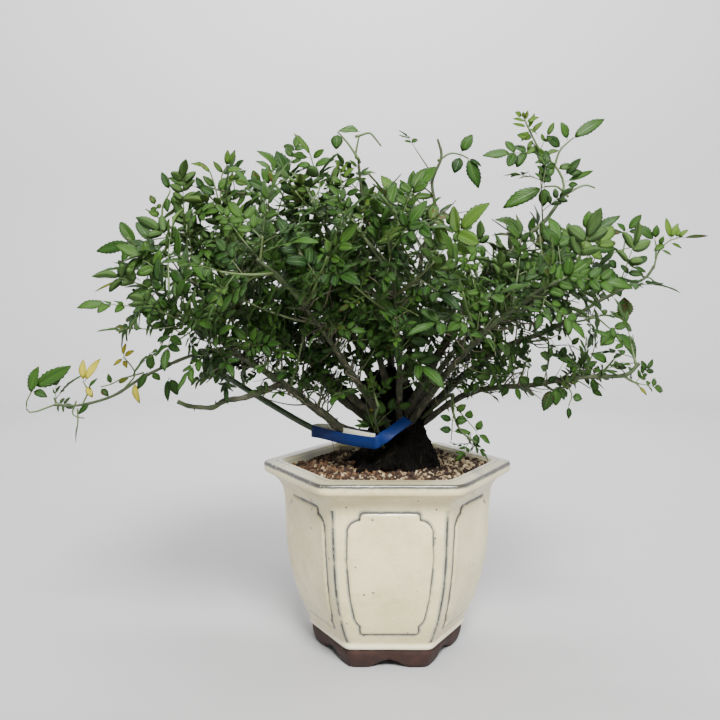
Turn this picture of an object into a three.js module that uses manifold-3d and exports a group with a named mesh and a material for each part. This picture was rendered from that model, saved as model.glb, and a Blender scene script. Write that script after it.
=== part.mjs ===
// A shrub rose grown as a bonsai: a fluted old stump on spread roots, arching canes with
// pinnate leaves on short side shoots, gritty soil, and a six-sided glazed pot on cut feet.
// Millimetres, +Z up. The origin is on the pot's axis, at the level that its feet stand on.
import * as THREE from "three";
import { mergeVertices } from "three/addons/utils/BufferGeometryUtils.js";
import Module from "manifold-3d";

const wasm = await Module();
wasm.setup();

// Driving dimensions
const POT_HEIGHT = 152;
const RIM_ACROSS = 203; // over two opposite corners
const CORNER_ROUND = 7; // how far a rounded corner reaches along each side
const CORNER_LOSS = 0.268 * CORNER_ROUND; // how far its middle lies inside the sharp corner
const APRON_TOP = 17; // where the glaze ends and the bare clay foot begins
const FLOOR_UNDER = 8;
const FLOOR_TOP = 16;
const DRAIN_RADIUS = 8;
const FOOT_ARCH_WIDTH = 37;
const FOOT_ARCH_HEIGHT = 6.5;
const PANEL_PROUD = 1.2;
const SOIL_TOP = 140;
const GAP = 0.3; // between pieces that touch
const LEAF_THICK = 0.7;
const LEAF_REACH = 46; // a leaf's length, on average
const SHOOT_RADIUS = 1.15;
const SHORTEST = 14; // side shoot
const GOLDEN = 2.39996; // the angle between one leaf and the next, in radians
const CANE_STEP = 36;
const SEED = 7.31;

const UP = new THREE.Vector3(0, 0, 1);
const FRONT = new THREE.Vector3(0, -1, 0);
const vec = (p) => new THREE.Vector3(...p);

// A repeatable draw from 0 to 1 for two whole numbers.
function draw(i, k) {
  const s = Math.sin(i * 12.9898 + k * 78.233 + SEED) * 43758.5453;
  return s - Math.floor(s);
}

// Solids

// A closed geometry over rings of equally many points. Each ring runs anticlockwise as seen
// from the next one. With loop true the last ring joins the first, and there are no end caps.
function loft(rings, loop = false) {
  const n = rings[0].length;
  const count = rings.length;
  const faces = [];
  for (let i = 0; i < (loop ? count : count - 1); i++)
    for (let j = 0; j < n; j++) {
      const a = i * n + j;
      const b = i * n + ((j + 1) % n);
      const c = ((i + 1) % count) * n + j;
      const d = ((i + 1) % count) * n + ((j + 1) % n);
      faces.push(a, b, d, a, d, c);
    }
  const last = (count - 1) * n;
  for (let k = 1; k < n - 1 && !loop; k++) {
    faces.push(0, k + 1, k);
    faces.push(last, last + k, last + k + 1);
  }
  const flat = rings.flat().flatMap((p) => [p.x, p.y, p.z]);
  const geometry = new THREE.BufferGeometry();
  geometry.setAttribute("position", new THREE.Float32BufferAttribute(flat, 3));
  geometry.setIndex(faces);
  return geometry;
}

// A geometry as a solid that can be joined and cut.
function solidOf(geometry) {
  const bare = new THREE.BufferGeometry();
  bare.setAttribute("position", geometry.getAttribute("position"));
  if (geometry.index) bare.setIndex(geometry.index);
  const merged = mergeVertices(bare, 1e-4);
  return new wasm.Manifold(
    new wasm.Mesh({
      numProp: 3,
      vertProperties: merged.attributes.position.array,
      triVerts: new Uint32Array(merged.index.array),
    }),
  );
}

const joined = (solids) => solids.reduce((whole, next) => whole.add(next));

// A solid with the pockets closed that were left shut in between its joined pieces.
const filled = (solid) =>
  solid.decompose().toSorted((a, b) => b.volume() - a.volume())[0];

// Directions across a tangent: the first leans up as far as it can, the second lies level.
function across(tangent) {
  const away = Math.abs(tangent.z) > 0.97 ? new THREE.Vector3(1, 0, 0) : UP;
  const first = away.clone().addScaledVector(tangent, -away.dot(tangent));
  first.normalize();
  return [first, tangent.clone().cross(first)];
}

// A tapering round stem along a curve, cut square at both ends.
function stem(curve, radii, sides, steps) {
  const rings = [];
  for (let i = 0; i <= steps; i++) {
    const u = i / steps;
    const centre = curve.getPointAt(u);
    const [first, second] = across(curve.getTangentAt(u));
    const radius = radii[0] + (radii[1] - radii[0]) * u ** 0.8;
    rings.push(
      Array.from({ length: sides }, (_, j) => {
        const turn = (2 * Math.PI * j) / sides;
        return centre
          .clone()
          .addScaledVector(first, radius * Math.cos(turn))
          .addScaledVector(second, radius * Math.sin(turn));
      }),
    );
  }
  return solidOf(loft(rings));
}

const through = (points) =>
  new THREE.CatmullRomCurve3(points.map(vec), false, "catmullrom", 0.5);

// Pot

// A level six-sided ring with rounded corners. Radius is to the corner that the sides would meet in.
function hexRing(radius, z, round = CORNER_ROUND) {
  const ring = [];
  const corner = (k) => {
    const turn = (Math.PI / 3) * k;
    return new THREE.Vector3(Math.cos(turn), Math.sin(turn), 0).multiplyScalar(
      radius,
    );
  };
  const pulledIn = (CORNER_LOSS * round) / CORNER_ROUND;
  for (let k = 0; k < 6; k++) {
    const here = corner(k);
    const before = corner(k - 1);
    const after = corner(k + 1);
    ring.push(here.clone().lerp(before, round / radius));
    ring.push(here.clone().multiplyScalar(1 - pulledIn / radius));
    ring.push(here.clone().lerp(after, round / radius));
  }
  ring.forEach((p) => (p.z = z));
  return ring;
}

// A level round ring whose points face those of a hexRing.
function roundRing(radius, z) {
  return hexRing(100, z).map((p) => {
    const turn = Math.atan2(p.y, p.x);
    return new THREE.Vector3(
      radius * Math.cos(turn),
      radius * Math.sin(turn),
      z,
    );
  });
}

const RIM = RIM_ACROSS / 2 + CORNER_LOSS;
// The glazed wall from the apron up to the lip, as heights and corner radii.
const WALL = [
  [APRON_TOP, 64.5],
  [APRON_TOP + 4, 65.5],
  [30, 70],
  [45, 76.5],
  [66, 82],
  [108, 86],
  [129, 87.5],
  [139, 93],
  [144.5, 100],
  [146.5, RIM - 0.6],
  [POT_HEIGHT - 1.2, RIM],
];
// The inside, from the lip down to the floor.
const INSIDE = [
  [POT_HEIGHT, RIM - 2],
  [POT_HEIGHT - 1, RIM - 13],
  [POT_HEIGHT - 4, RIM - 16.5],
  [128, 79],
  [86, 76.5],
  [45, 68],
  [FLOOR_TOP + 6, 58],
  [FLOOR_TOP, 50],
];

const radiusAt = (profile, z) => {
  const rows = profile.toSorted((a, b) => a[0] - b[0]);
  const k = Math.max(
    1,
    rows.findIndex((row) => row[0] >= z),
  );
  const [low, high] = [rows[k - 1], rows[k]];
  return low[1] + ((high[1] - low[1]) * (z - low[0])) / (high[0] - low[0]);
};

// One cartouche: a raised pad with stepped corners, following the wall.
function panel(turn) {
  const rows = [
    [31, 21],
    [37, 22],
    [37.5, 25.5],
    [66, 29],
    [121, 30.5],
    [121.5, 23],
    [127.5, 22],
  ];
  const rings = rows.map(([z, half]) => {
    const wall = radiusAt(WALL, z) * Math.cos(Math.PI / 6);
    return [
      [wall + PANEL_PROUD, -half, z],
      [wall + PANEL_PROUD, half, z],
      [wall - 2, half, z],
      [wall - 2, -half, z],
    ].map((p) => vec(p).applyAxisAngle(UP, turn));
  });
  return solidOf(loft(rings));
}

// The arch between two feet, carried right across the pot.
function footArch(turn) {
  const half = FOOT_ARCH_WIDTH / 2;
  const top = FOOT_ARCH_HEIGHT;
  const shape = new THREE.Shape();
  shape.moveTo(-half, -1);
  shape.lineTo(half, -1);
  shape.quadraticCurveTo(half - 2, 3, half * 0.6, top * 0.55);
  shape.lineTo(0, top);
  shape.lineTo(-half * 0.6, top * 0.55);
  shape.quadraticCurveTo(-half + 2, 3, -half, -1);
  const depth = RIM_ACROSS;
  const bar = new THREE.ExtrudeGeometry(shape, {
    depth,
    bevelEnabled: false,
    curveSegments: 2,
  });
  bar.translate(0, 0, -depth / 2);
  bar.rotateX(Math.PI / 2);
  bar.rotateZ(turn);
  return solidOf(bar);
}

function pot() {
  const foot = [
    hexRing(50, FLOOR_UNDER),
    hexRing(46, 0),
    hexRing(58.5, 0),
    hexRing(61, 3),
    hexRing(63.5, APRON_TOP - 2.5),
    hexRing(63, APRON_TOP - 0.5),
  ];
  const rings = [
    ...foot,
    ...WALL.map(([z, r]) => hexRing(r, z)),
    ...INSIDE.map(([z, r]) => hexRing(r, z)),
    roundRing(DRAIN_RADIUS, FLOOR_TOP),
    roundRing(DRAIN_RADIUS, FLOOR_UNDER),
  ];
  let body = solidOf(loft(rings, true));
  for (let k = 0; k < 6; k++)
    body = body.add(panel((k + 0.5) * (Math.PI / 3)));
  for (let k = 0; k < 3; k++)
    body = body.subtract(footArch((k * Math.PI) / 3));
  return body;
}

// A coarse plastic net over the drain hole, under the soil.
const NET_SIDE = 26;
const NET_THICK = 1;
const NET_BAR = 2.4;
function drainNet() {
  const opening = NET_SIDE / 2 - NET_BAR;
  const plate = new THREE.BoxGeometry(NET_SIDE, NET_SIDE, NET_THICK);
  let sheet = solidOf(plate);
  for (const x of [-NET_SIDE / 4, NET_SIDE / 4])
    for (const y of [-NET_SIDE / 4, NET_SIDE / 4]) {
      const hole = new THREE.BoxGeometry(opening, opening, 2 * NET_THICK);
      sheet = sheet.subtract(solidOf(hole.translate(x, y, 0)));
    }
  return sheet.translate(0, 0, FLOOR_TOP + GAP + NET_THICK / 2);
}

// Stump, roots and canes

// The stump's level rows: height, centre x and y, half widths along x and y, depth of its flutes.
const STUMP = [
  [98, 10, -4, 22, 19, 0.05],
  [118, 10, -6, 34, 28, 0.1],
  [134, 9, -6, 40, 32, 0.15],
  [146, 9, -6, 37, 30, 0.17],
  [157, 10, -5, 29, 25, 0.17],
  [169, 11, -3, 23, 21, 0.14],
  [181, 11, 0, 20, 19, 0.12],
  [192, 10, 3, 18, 18, 0.1],
  [201, 8, 6, 13, 13, 0.08],
  [206, 8, 6, 6, 6, 0.05],
];
const STUMP_SIDES = 15;
// Each root: its points, then its radius at the stump and at its tip.
const ROOTS = [
  {
    points: [[20, -4, 168], [38, -9, 151], [50, -13, 134], [57, -17, 112]],
    radii: [10, 4],
  },
  {
    points: [[-2, -12, 162], [-22, -25, 147], [-38, -33, 130], [-46, -37, 112]],
    radii: [9, 3.5],
  },
  {
    points: [[13, -16, 162], [19, -33, 146], [22, -45, 130], [24, -52, 114]],
    radii: [8, 3.5],
  },
  {
    points: [[-6, 8, 164], [-26, 20, 148], [-40, 29, 130], [-47, 34, 112]],
    radii: [8, 3.5],
  },
  {
    points: [[20, 12, 164], [33, 26, 146], [42, 38, 130], [47, 44, 112]],
    radii: [8, 3.5],
  },
];

// A smooth curve through points, longer by a margin at both of its ends.
function lengthened(points, margin) {
  const longer = [...points];
  const push = (here, next) =>
    here.clone().add(here.clone().sub(next).setLength(margin || 1e-9));
  longer[0] = push(points[0], points[1]);
  longer[points.length - 1] = push(points.at(-1), points.at(-2));
  return new THREE.CatmullRomCurve3(longer, false, "catmullrom", 0.5);
}

// The stump with its roots, grown by a margin where it cuts the soil.
function rootstock(margin) {
  const rings = STUMP.map(([z, cx, cy, rx, ry, flute]) =>
    Array.from({ length: STUMP_SIDES }, (_, j) => {
      const turn = (2 * Math.PI * j) / STUMP_SIDES;
      const wave = Math.sin(3 * turn + 1 + z * 0.012);
      const ripple = Math.sin(5 * turn + 2.3 - z * 0.02);
      const swell = 1 + flute * wave + 0.5 * flute * ripple;
      return new THREE.Vector3(
        cx + (rx * swell + margin) * Math.cos(turn),
        cy + (ry * swell + margin) * Math.sin(turn),
        z,
      );
    }),
  );
  rings[0].forEach((p) => (p.z -= margin));
  const roots = ROOTS.map(({ points, radii }) => {
    const longer = lengthened(points.map(vec), margin);
    return stem(longer, [radii[0] + margin, radii[1] + margin], 6, 4);
  });
  return joined([solidOf(loft(rings)), ...roots]);
}

// A knobbly lump of old wood: a faceted ball, stretched, with each point pushed in or out.
function lump(centre, half, index) {
  const ball = new THREE.IcosahedronGeometry(1, 1);
  const bare = new THREE.BufferGeometry();
  bare.setAttribute("position", ball.getAttribute("position"));
  const merged = mergeVertices(bare, 1e-4);
  const place = merged.getAttribute("position");
  for (let i = 0; i < place.count; i++) {
    const push = 0.86 + 0.28 * draw(i, index);
    place.setXYZ(
      i,
      centre[0] + place.getX(i) * half[0] * push,
      centre[1] + place.getY(i) * half[1] * push,
      centre[2] + place.getZ(i) * half[2] * push,
    );
  }
  return solidOf(merged);
}

// Each cane: its points from the stump out, its radius there and at its tip, where its side
// shoots begin, how far apart they stand and how long they are, how many times the crown's size
// they may fill, and the size of its leaves.
const CANES = [
  {
    points: [
      [10, -8, 184], [28, -14, 219], [50, -8, 258], [67, 0, 286], [83, 3, 308], [109, 5, 334],
      [128, 5, 350], [143, 6, 371],
    ],
    radii: [4.2, 1.3], from: 95, every: 19, reach: 30, room: 1.1,
  },
  {
    points: [
      [22, 2, 184], [62, 8, 222], [98, 15, 246], [140, 20, 262], [178, 24, 284],
      [206, 28, 298], [220, 30, 305], [227, 30, 315],
    ],
    radii: [3.8, 1.1], from: 60, every: 18, reach: 34, room: 1.2,
  },
  {
    points: [
      [22, -2, 180], [62, -20, 211], [90, -34, 222], [114, -50, 228], [156, -60, 229],
      [176, -60, 230], [186, -60, 239],
    ],
    radii: [2.8, 1.5], from: 58, every: 20, reach: 16, room: 9, leaf: 0.7,
  },
  {
    points: [
      [-6, -10, 176], [-40, -25, 189], [-60, -40, 204], [-82, -55, 223], [-110, -62, 244],
      [-140, -66, 266], [-172, -66, 284],
    ],
    radii: [4.4, 1.1], from: 78, every: 18, reach: 40,
  },
  {
    points: [
      [-110, -62, 244], [-131, -60, 249], [-150, -54, 244], [-170, -50, 236], [-190, -50, 226],
      [-211, -50, 213], [-236, -50, 206], [-256, -50, 206],
    ],
    radii: [1.5, 1.0], from: 55, every: 25, reach: 8, room: 9, leaf: 0.55,
  },
  {
    points: [
      [-8, -2, 184], [-41, 0, 208], [-56, 10, 224], [-75, 15, 252], [-100, 20, 286],
      [-135, 14, 318], [-161, 5, 332], [-178, 0, 346],
    ],
    radii: [4.4, 1.1], from: 82, every: 18, reach: 46,
  },
  {
    points: [
      [2, 8, 192], [3, 20, 252], [-2, 20, 294], [-14, 8, 336], [-21, -8, 370], [-24, -17, 397],
    ],
    radii: [3.6, 0.9], from: 75, every: 19, reach: 44,
  },
  {
    points: [[-82, -55, 223], [-100, -60, 215], [-133, -62, 204], [-158, -60, 209]],
    radii: [2.4, 1.5], from: 200, every: 20, reach: 30,
  },
  {
    points: [[5, -8, 176], [-26, -46, 226], [-52, -76, 268], [-76, -102, 300], [-92, -112, 314]],
    radii: [3.4, 1.0], from: 75, every: 18, reach: 42,
  },
  {
    points: [[14, -8, 180], [44, -46, 230], [70, -76, 264], [98, -100, 290], [114, -112, 300]],
    radii: [3.4, 1.0], from: 75, every: 18, reach: 42,
  },
  {
    points: [[9, -7, 180], [8, -40, 235], [4, -70, 282], [0, -92, 312], [-2, -106, 328]],
    radii: [3.2, 1.0], from: 75, every: 18, reach: 42,
  },
  {
    points: [[-2, 10, 186], [-44, 48, 238], [-84, 82, 280], [-116, 102, 306], [-134, 110, 318]],
    radii: [3.6, 1.0], from: 75, every: 19, reach: 46,
  },
  {
    points: [[6, 12, 190], [5, 54, 254], [10, 84, 300], [14, 104, 328], [14, 112, 342]],
    radii: [3.4, 1.0], from: 75, every: 19, reach: 44,
  },
  {
    points: [[14, 8, 186], [54, 44, 234], [90, 72, 268], [122, 94, 290], [142, 102, 300]],
    radii: [3.6, 1.0], from: 75, every: 19, reach: 46,
  },
  {
    points: [[0, 4, 188], [-30, 14, 260], [-60, 18, 318], [-94, 12, 358], [-116, 5, 374]],
    radii: [3.6, 1.0], from: 78, every: 18, reach: 44,
  },
  {
    points: [
      [0, -2, 180], [-58, -20, 234], [-108, -30, 272], [-156, -32, 302], [-186, -26, 318],
    ],
    radii: [3.6, 1.0], from: 75, every: 18, reach: 44,
  },
  {
    points: [[14, 0, 186], [60, -26, 244], [98, -42, 280], [132, -46, 304], [154, -42, 316]],
    radii: [3.4, 1.0], from: 70, every: 18, reach: 42,
  },
  {
    points: [[6, 2, 192], [-14, -22, 262], [-38, -34, 320], [-58, -34, 360], [-66, -28, 378]],
    radii: [3.2, 1.0], from: 75, every: 19, reach: 42,
  },
  {
    points: [
      [10, 5, 194], [20, -4, 260], [26, -14, 318], [37, -20, 354], [37, -20, 378],
      [46, -20, 402], [41, -20, 416],
    ],
    radii: [3.2, 0.9], from: 75, every: 20, reach: 36,
  },
  {
    points: [[22, -2, 184], [48, -34, 212], [47, -54, 206], [52, -64, 190], [64, -68, 180]],
    radii: [1.6, 0.8], from: 46, every: 14, reach: 8, room: 9, leaf: 0.42,
  },
  {
    points: [[4, -8, 150], [-8, -34, 172], [-12, -46, 190], [-8, -54, 204]],
    radii: [1.6, 0.9], from: 24, every: 11, reach: 8, room: 9, leaf: 0.4,
  },
];

// The lengthwise curve of cane c.
const caneCurves = CANES.map(({ points }) => through(points));
const caneRadius = (c, u) =>
  CANES[c].radii[0] + (CANES[c].radii[1] - CANES[c].radii[0]) * u ** 0.8;

const caneSteps = (c) =>
  Math.max(6, Math.round(caneCurves[c].getLength() / CANE_STEP));

const PRICKLY = [0, 1, 3, 5, 8, 9, 16]; // canes that carry thorns

// A thorn on ring i of cane c: a small three-sided spike, hooked a little towards its foot.
function prickle(c, i, turn) {
  const u = i / caneSteps(c);
  const centre = caneCurves[c].getPointAt(u);
  const along = caneCurves[c].getTangentAt(u);
  const [first, second] = across(along);
  const out = first
    .clone()
    .multiplyScalar(Math.cos(turn))
    .addScaledVector(second, Math.sin(turn));
  const side = along.clone().cross(out);
  const radius = caneRadius(c, u);
  const seat = centre.clone().addScaledVector(out, radius * 0.4);
  const tip = centre
    .clone()
    .addScaledVector(out, radius + 3.4)
    .addScaledVector(along, -1.4);
  const base = [
    seat.clone().addScaledVector(along, 2.2),
    seat.clone().addScaledVector(along, -1.4).addScaledVector(side, 1),
    seat.clone().addScaledVector(along, -1.4).addScaledVector(side, -1),
  ];
  const flat = [...base, tip].flatMap((p) => [p.x, p.y, p.z]);
  const spike = new THREE.BufferGeometry();
  spike.setAttribute("position", new THREE.Float32BufferAttribute(flat, 3));
  spike.setIndex([0, 1, 2, 0, 3, 1, 1, 3, 2, 2, 3, 0]);
  return solidOf(spike);
}

function trunk() {
  const canes = CANES.map(({ radii }, c) =>
    stem(caneCurves[c], radii, radii[0] > 2.5 ? 5 : 4, caneSteps(c)),
  );
  const prickles = [];
  for (const c of PRICKLY)
    for (let i = 2; i < 5; i++) prickles.push(prickle(c, i, GOLDEN * i + c));
  const burl = lump([-8, 20, 197], [19, 15, 20], 1);
  const knob = lump([36, 1, 198], [8, 8, 9], 2);
  return filled(joined([rootstock(0), burl, knob, ...canes, ...prickles]));
}

// Soil

// Grit seen from above: a mound towards the stump, with each point a little higher or lower.
function soil() {
  const wall = INSIDE.filter(([z]) => z < SOIL_TOP).reverse();
  const rings = wall.map(([z, r], i) =>
    hexRing(r - GAP - 0.1, i ? z : z + GAP, CORNER_ROUND),
  );
  const edge = radiusAt(INSIDE, SOIL_TOP) - GAP - 0.1;
  rings.push(hexRing(edge, SOIL_TOP - 1, CORNER_ROUND));
  const shares = [0.965, 0.85, 0.7, 0.52, 0.3];
  shares.forEach((share, i) => {
    const ring = hexRing(edge * share, SOIL_TOP, CORNER_ROUND * share);
    ring.forEach((p, j) => {
      p.z += 5 * (1 - share) + 2.6 * (draw(j, 40 + i) - 0.5);
    });
    rings.push(ring);
  });
  const bed = solidOf(loft(rings));
  const recess = new THREE.BoxGeometry(
    NET_SIDE + 2 * GAP,
    NET_SIDE + 2 * GAP,
    2 * (NET_THICK + 2 * GAP),
  );
  recess.translate(0, 0, FLOOR_TOP);
  return bed.subtract(rootstock(GAP)).subtract(solidOf(recess));
}

// A smooth young cane cut short, which leaves the stump low on its left.
function greenCane() {
  const points = [[-2, 4, 166], [-30, 1, 170], [-61, 0, 180], [-106, 6, 205], [-150, 12, 232]];
  return stem(through(points), [2.7, 2.4], 8, 8).subtract(rootstock(GAP));
}

// A bare plastic plant tag: a strip creased in front, hooked round the green cane at its left.
const TAG_WIDTH = 10.5;
const TAG_THICK = 0.7;
function tag() {
  const path = [
    [14, -30, 187], [2, -38, 182], [-11, -46.5, 177.6], [-15, -45.5, 177.2], [-38, -21, 176.5],
    [-50, -8.8, 176.5], [-58, -3.8, 176.5], [-70, -3, 176.5], [-74.5, -1.8, 176.5],
    [-76, 0.6, 176.5], [-74.5, 3, 176.5], [-68, 3.8, 176.5], [-56, 3.8, 176.5],
    [-44, 4.2, 176.5],
  ].map(vec);
  const rings = path.map((p, i) => {
    const before = path[Math.max(i - 1, 0)];
    const after = path[Math.min(i + 1, path.length - 1)];
    const run = after.clone().sub(before).normalize();
    const out = run.clone().cross(UP).normalize();
    const tall = out.clone().cross(run);
    const place = (a, b) =>
      p.clone().addScaledVector(out, a).addScaledVector(tall, b);
    const h = TAG_WIDTH / 2;
    const t = TAG_THICK / 2;
    return [place(-t, -h), place(-t, h), place(t, h), place(t, -h)];
  });
  return solidOf(loft(rings));
}

// Leaves

// The outline of a pinnate leaf cut to its rib, in a plane: x along the rib, y across it.
function leafOutline(length, pairs) {
  const rib = 0.6;
  const neck = 0.85;
  const spread = 0.98;
  const near = [];
  for (let i = 0; i < pairs; i++) {
    const at = length * (0.27 + 0.22 * i);
    const size = length * (0.29 + 0.03 * i);
    const half = size * 0.29;
    const place = (s, w) => [
      at + s * Math.cos(spread) + w * Math.sin(spread),
      -rib - s * Math.sin(spread) + w * Math.cos(spread),
    ];
    near.push([at - neck, -rib]);
    near.push(place(size * 0.46, -half));
    near.push(place(size, 0));
    near.push(place(size * 0.52, half));
    near.push([at + neck, -rib]);
  }
  const last = length * 0.56;
  const end = length * 0.48;
  near.push([last, -rib]);
  near.push([last + end * 0.4, -end * 0.23]);
  const far = near.map(([x, y]) => [x, -y]).reverse();
  return [[-rib, 0], ...near, [last + end, 0], ...far].map(
    ([x, y]) => new THREE.Vector2(x, y),
  );
}

// A leaf as a thin arched blade. Its rib droops to the tip, and its halves fold up a little.
function leaf({ base, axis, face, length, droop }, pairs) {
  const outline = leafOutline(length, pairs);
  const side = face.clone().cross(axis);
  const n = outline.length;
  const lift = ({ x, y }) => (-droop * x * x) / length + 0.16 * Math.abs(y);
  const skin = (offset) =>
    outline.map((p) =>
      base
        .clone()
        .addScaledVector(axis, p.x)
        .addScaledVector(side, p.y)
        .addScaledVector(face, lift(p) + offset),
    );
  const points = [...skin(LEAF_THICK / 2), ...skin(-LEAF_THICK / 2)];
  const faces = [];
  for (const [a, b, c] of THREE.ShapeUtils.triangulateShape(outline, [])) {
    const [p, q, r] = [outline[a], outline[b], outline[c]];
    const turn = (q.x - p.x) * (r.y - p.y) - (q.y - p.y) * (r.x - p.x);
    const [i, j, k] = turn > 0 ? [a, b, c] : [a, c, b];
    faces.push(i, j, k, n + i, n + k, n + j);
  }
  for (let i = 0; i < n; i++) {
    const j = (i + 1) % n;
    faces.push(i, n + i, n + j, i, n + j, j);
  }
  const blade = new THREE.BufferGeometry();
  const flat = points.flatMap((p) => [p.x, p.y, p.z]);
  blade.setAttribute("position", new THREE.Float32BufferAttribute(flat, 3));
  blade.setIndex(faces);
  return solidOf(blade);
}

// Side shoots

// The leafy crown's bounds: a squarish ball, higher above its middle than below it.
const CROWN = {
  middle: vec([-28, 0, 312]),
  half: [214, 158],
  above: 66,
  lean: 0.18, // how fast its top falls to the right
  below: 64,
  power: 3,
};
const LOOK_OUT = vec([0, 0, 250]); // leaves face up and away from this point

function outsideCrown(point, room) {
  const from = point.clone().sub(CROWN.middle).divideScalar(room);
  const { half, above, lean, below, power } = CROWN;
  const height = from.z > 0 ? above - lean * from.x : below;
  const shares = [from.x / half[0], from.y / half[1], from.z / height];
  return shares.reduce((sum, v) => sum + Math.abs(v) ** power, 0) > 1;
}

// Shoot k of cane c: where it leaves the cane, its way and its curve. It is cut back until it
// stays in the crown. There is none where even a short one would leave it.
function shootOf(c, k) {
  const { from, every, reach, room = 1, leaf: size = 1 } = CANES[c];
  const curve = caneCurves[c];
  const length = curve.getLength();
  const id = 100 * (c + 1) + k;
  const u = Math.min((from + every * k) / length, 0.985);
  const along = curve.getTangentAt(u);
  const [first, second] = across(along);
  const turn = GOLDEN * k + c + 1.2 * (draw(id, 1) - 0.5);
  const way = along
    .clone()
    .multiplyScalar(0.5)
    .addScaledVector(first, 0.8 * Math.cos(turn))
    .addScaledVector(second, 0.8 * Math.sin(turn))
    .addScaledVector(UP, 0.2)
    .normalize();
  const cosine = Math.min(way.dot(along), 0.9);
  const sine = Math.sqrt(1 - cosine * cosine);
  const seat = (caneRadius(c, u) + 0.4 + SHOOT_RADIUS * cosine) / sine;
  const start = curve.getPointAt(u).addScaledVector(way, seat);
  const at = (s) => start.clone().addScaledVector(way, s);
  let span = reach * (0.75 + 0.5 * draw(id, 2));
  while (span > SHORTEST && outsideCrown(at(span + LEAF_REACH * size), room))
    span *= 0.85;
  if (outsideCrown(at(span + (LEAF_REACH * size) / 2), room)) return null;
  const end = at(span).addScaledVector(UP, 0.16 * span);
  const curveOut = new THREE.QuadraticBezierCurve3(start, at(span / 2), end);
  return { id, size, curve: curveOut };
}

// The way that a leaf's upper side faces, square to its axis: up, out and a stray of its own.
function facing(out, axis, id, j) {
  const stray = [10, 20, 40].map((k) => 0.9 * (draw(id, k + j) - 0.5));
  const face = UP.clone()
    .multiplyScalar(0.5)
    .addScaledVector(out, 0.75)
    .add(vec(stray));
  return face.addScaledVector(axis, -face.dot(axis)).normalize();
}

// Leaf j of a shoot's six: the last one ends the shoot. A leaf that would reach past the
// crown's limits is left off.
const LEAVES = 6;
const DEPTH_LIMIT = 148;
const LEFT_LIMIT = -270;
function leafOf({ id, size, curve }, j) {
  const share = 0.25 + (0.75 * j) / (LEAVES - 1);
  const base = curve.getPoint(share);
  const along = curve.getTangent(share);
  const [first, second] = across(along);
  const turn = GOLDEN * j + 6.28 * draw(id, 3);
  const last = j === LEAVES - 1;
  const axis = along.clone().multiplyScalar(last ? 1 : 0.45);
  if (!last)
    axis
      .addScaledVector(first, 0.8 * Math.cos(turn))
      .addScaledVector(second, 0.8 * Math.sin(turn));
  axis.addScaledVector(UP, 0.12).normalize();
  const length = size * LEAF_REACH * (0.85 + 0.3 * draw(id, 30 + j));
  const tip = base.clone().addScaledVector(axis, length);
  if (Math.abs(tip.y) > DEPTH_LIMIT || tip.x < LEFT_LIMIT) return null;
  const out = base.clone().sub(LOOK_OUT).normalize();
  const droop = 0.1 + 0.16 * draw(id, 50 + j);
  return { base, axis, face: facing(out, axis, id, j), length, droop };
}

// The green shoots that shape the crown's edge: their stems, and each leaf as its foot, its tip
// and how many pairs of leaflets it has.
const EDGE_SHOOTS = [
  {
    name: "top_right",
    stems: [[[144, 6, 374], [139, 8, 397], [128, 8, 412], [117, 8, 426]]],
    leaves: [
      [[140, 7, 393], [179, 0, 435], 1],
      [[131, 8, 409], [84, 4, 408], 2],
      [[143, 6, 379], [100, 0, 363], 1],
      [[141, 7, 387], [170, 0, 391], 1],
      [[117, 8, 426], [112, 8, 441], 1],
    ],
  },
  {
    name: "top_middle",
    stems: [
      [[-24, -17, 399.5], [-23, -18, 405], [-20, -20, 420]],
      [[-23, -18, 405], [-31, -19, 415], [-39, -20, 422]],
    ],
    leaves: [
      [[-20, -20, 420], [-38, -20, 428], 0],
      [[-39, -20, 422], [-39, -21, 406], 0],
    ],
  },
  {
    name: "top_twig",
    stems: [[[48, -20, 402], [54, -20, 404], [58, -20, 404]]],
    leaves: [
      [[58, -20, 404], [82, -20, 386], 1],
      [[53, -20, 404], [70, -20, 420], 0],
    ],
  },
  {
    name: "far_right",
    stems: [[[228.5, 30, 318], [237, 30, 327], [252, 30, 336]]],
    leaves: [
      [[252, 30, 336], [276, 30, 341], 1],
      [[236, 30, 326], [217, 26, 349], 1],
      [[244, 30, 331], [246, 24, 352], 0],
    ],
  },
  {
    name: "far_left",
    stems: [[[-258.5, -50, 205.5], [-268, -50, 202], [-272, -50, 208]]],
    leaves: [
      [[-272, -50, 208], [-240, -52, 235], 1],
      [[-270, -50, 205], [-262, -56, 232], 0],
    ],
  },
  {
    name: "left",
    stems: [[[-172, 0, 337], [-177, -2, 337], [-184, -2, 336]]],
    leaves: [[[-184, -2, 336], [-238, -2, 327], 2]],
  },
  {
    name: "right",
    stems: [[[155, 18, 267], [163, 10, 268], [172, 0, 265]]],
    leaves: [
      [[172, 0, 265], [209, -4, 241], 1],
      [[163, 10, 268], [196, 4, 288], 1],
    ],
  },
];

function edgeLeaf([foot, tip], id, j) {
  const base = vec(foot);
  const axis = vec(tip).sub(base);
  const length = axis.length();
  axis.normalize();
  return { base, axis, face: facing(FRONT, axis, id, j), length, droop: 0.1 };
}

// Places on a shoot that carry a leaf in this model, in the order that they are tried.
const LEAF_ORDER = [5, 2, 3, 0];

const part = new THREE.Group();
const placed = [];
const CANE_PIECE = 3; // the trunk is the fourth piece to be placed

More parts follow.
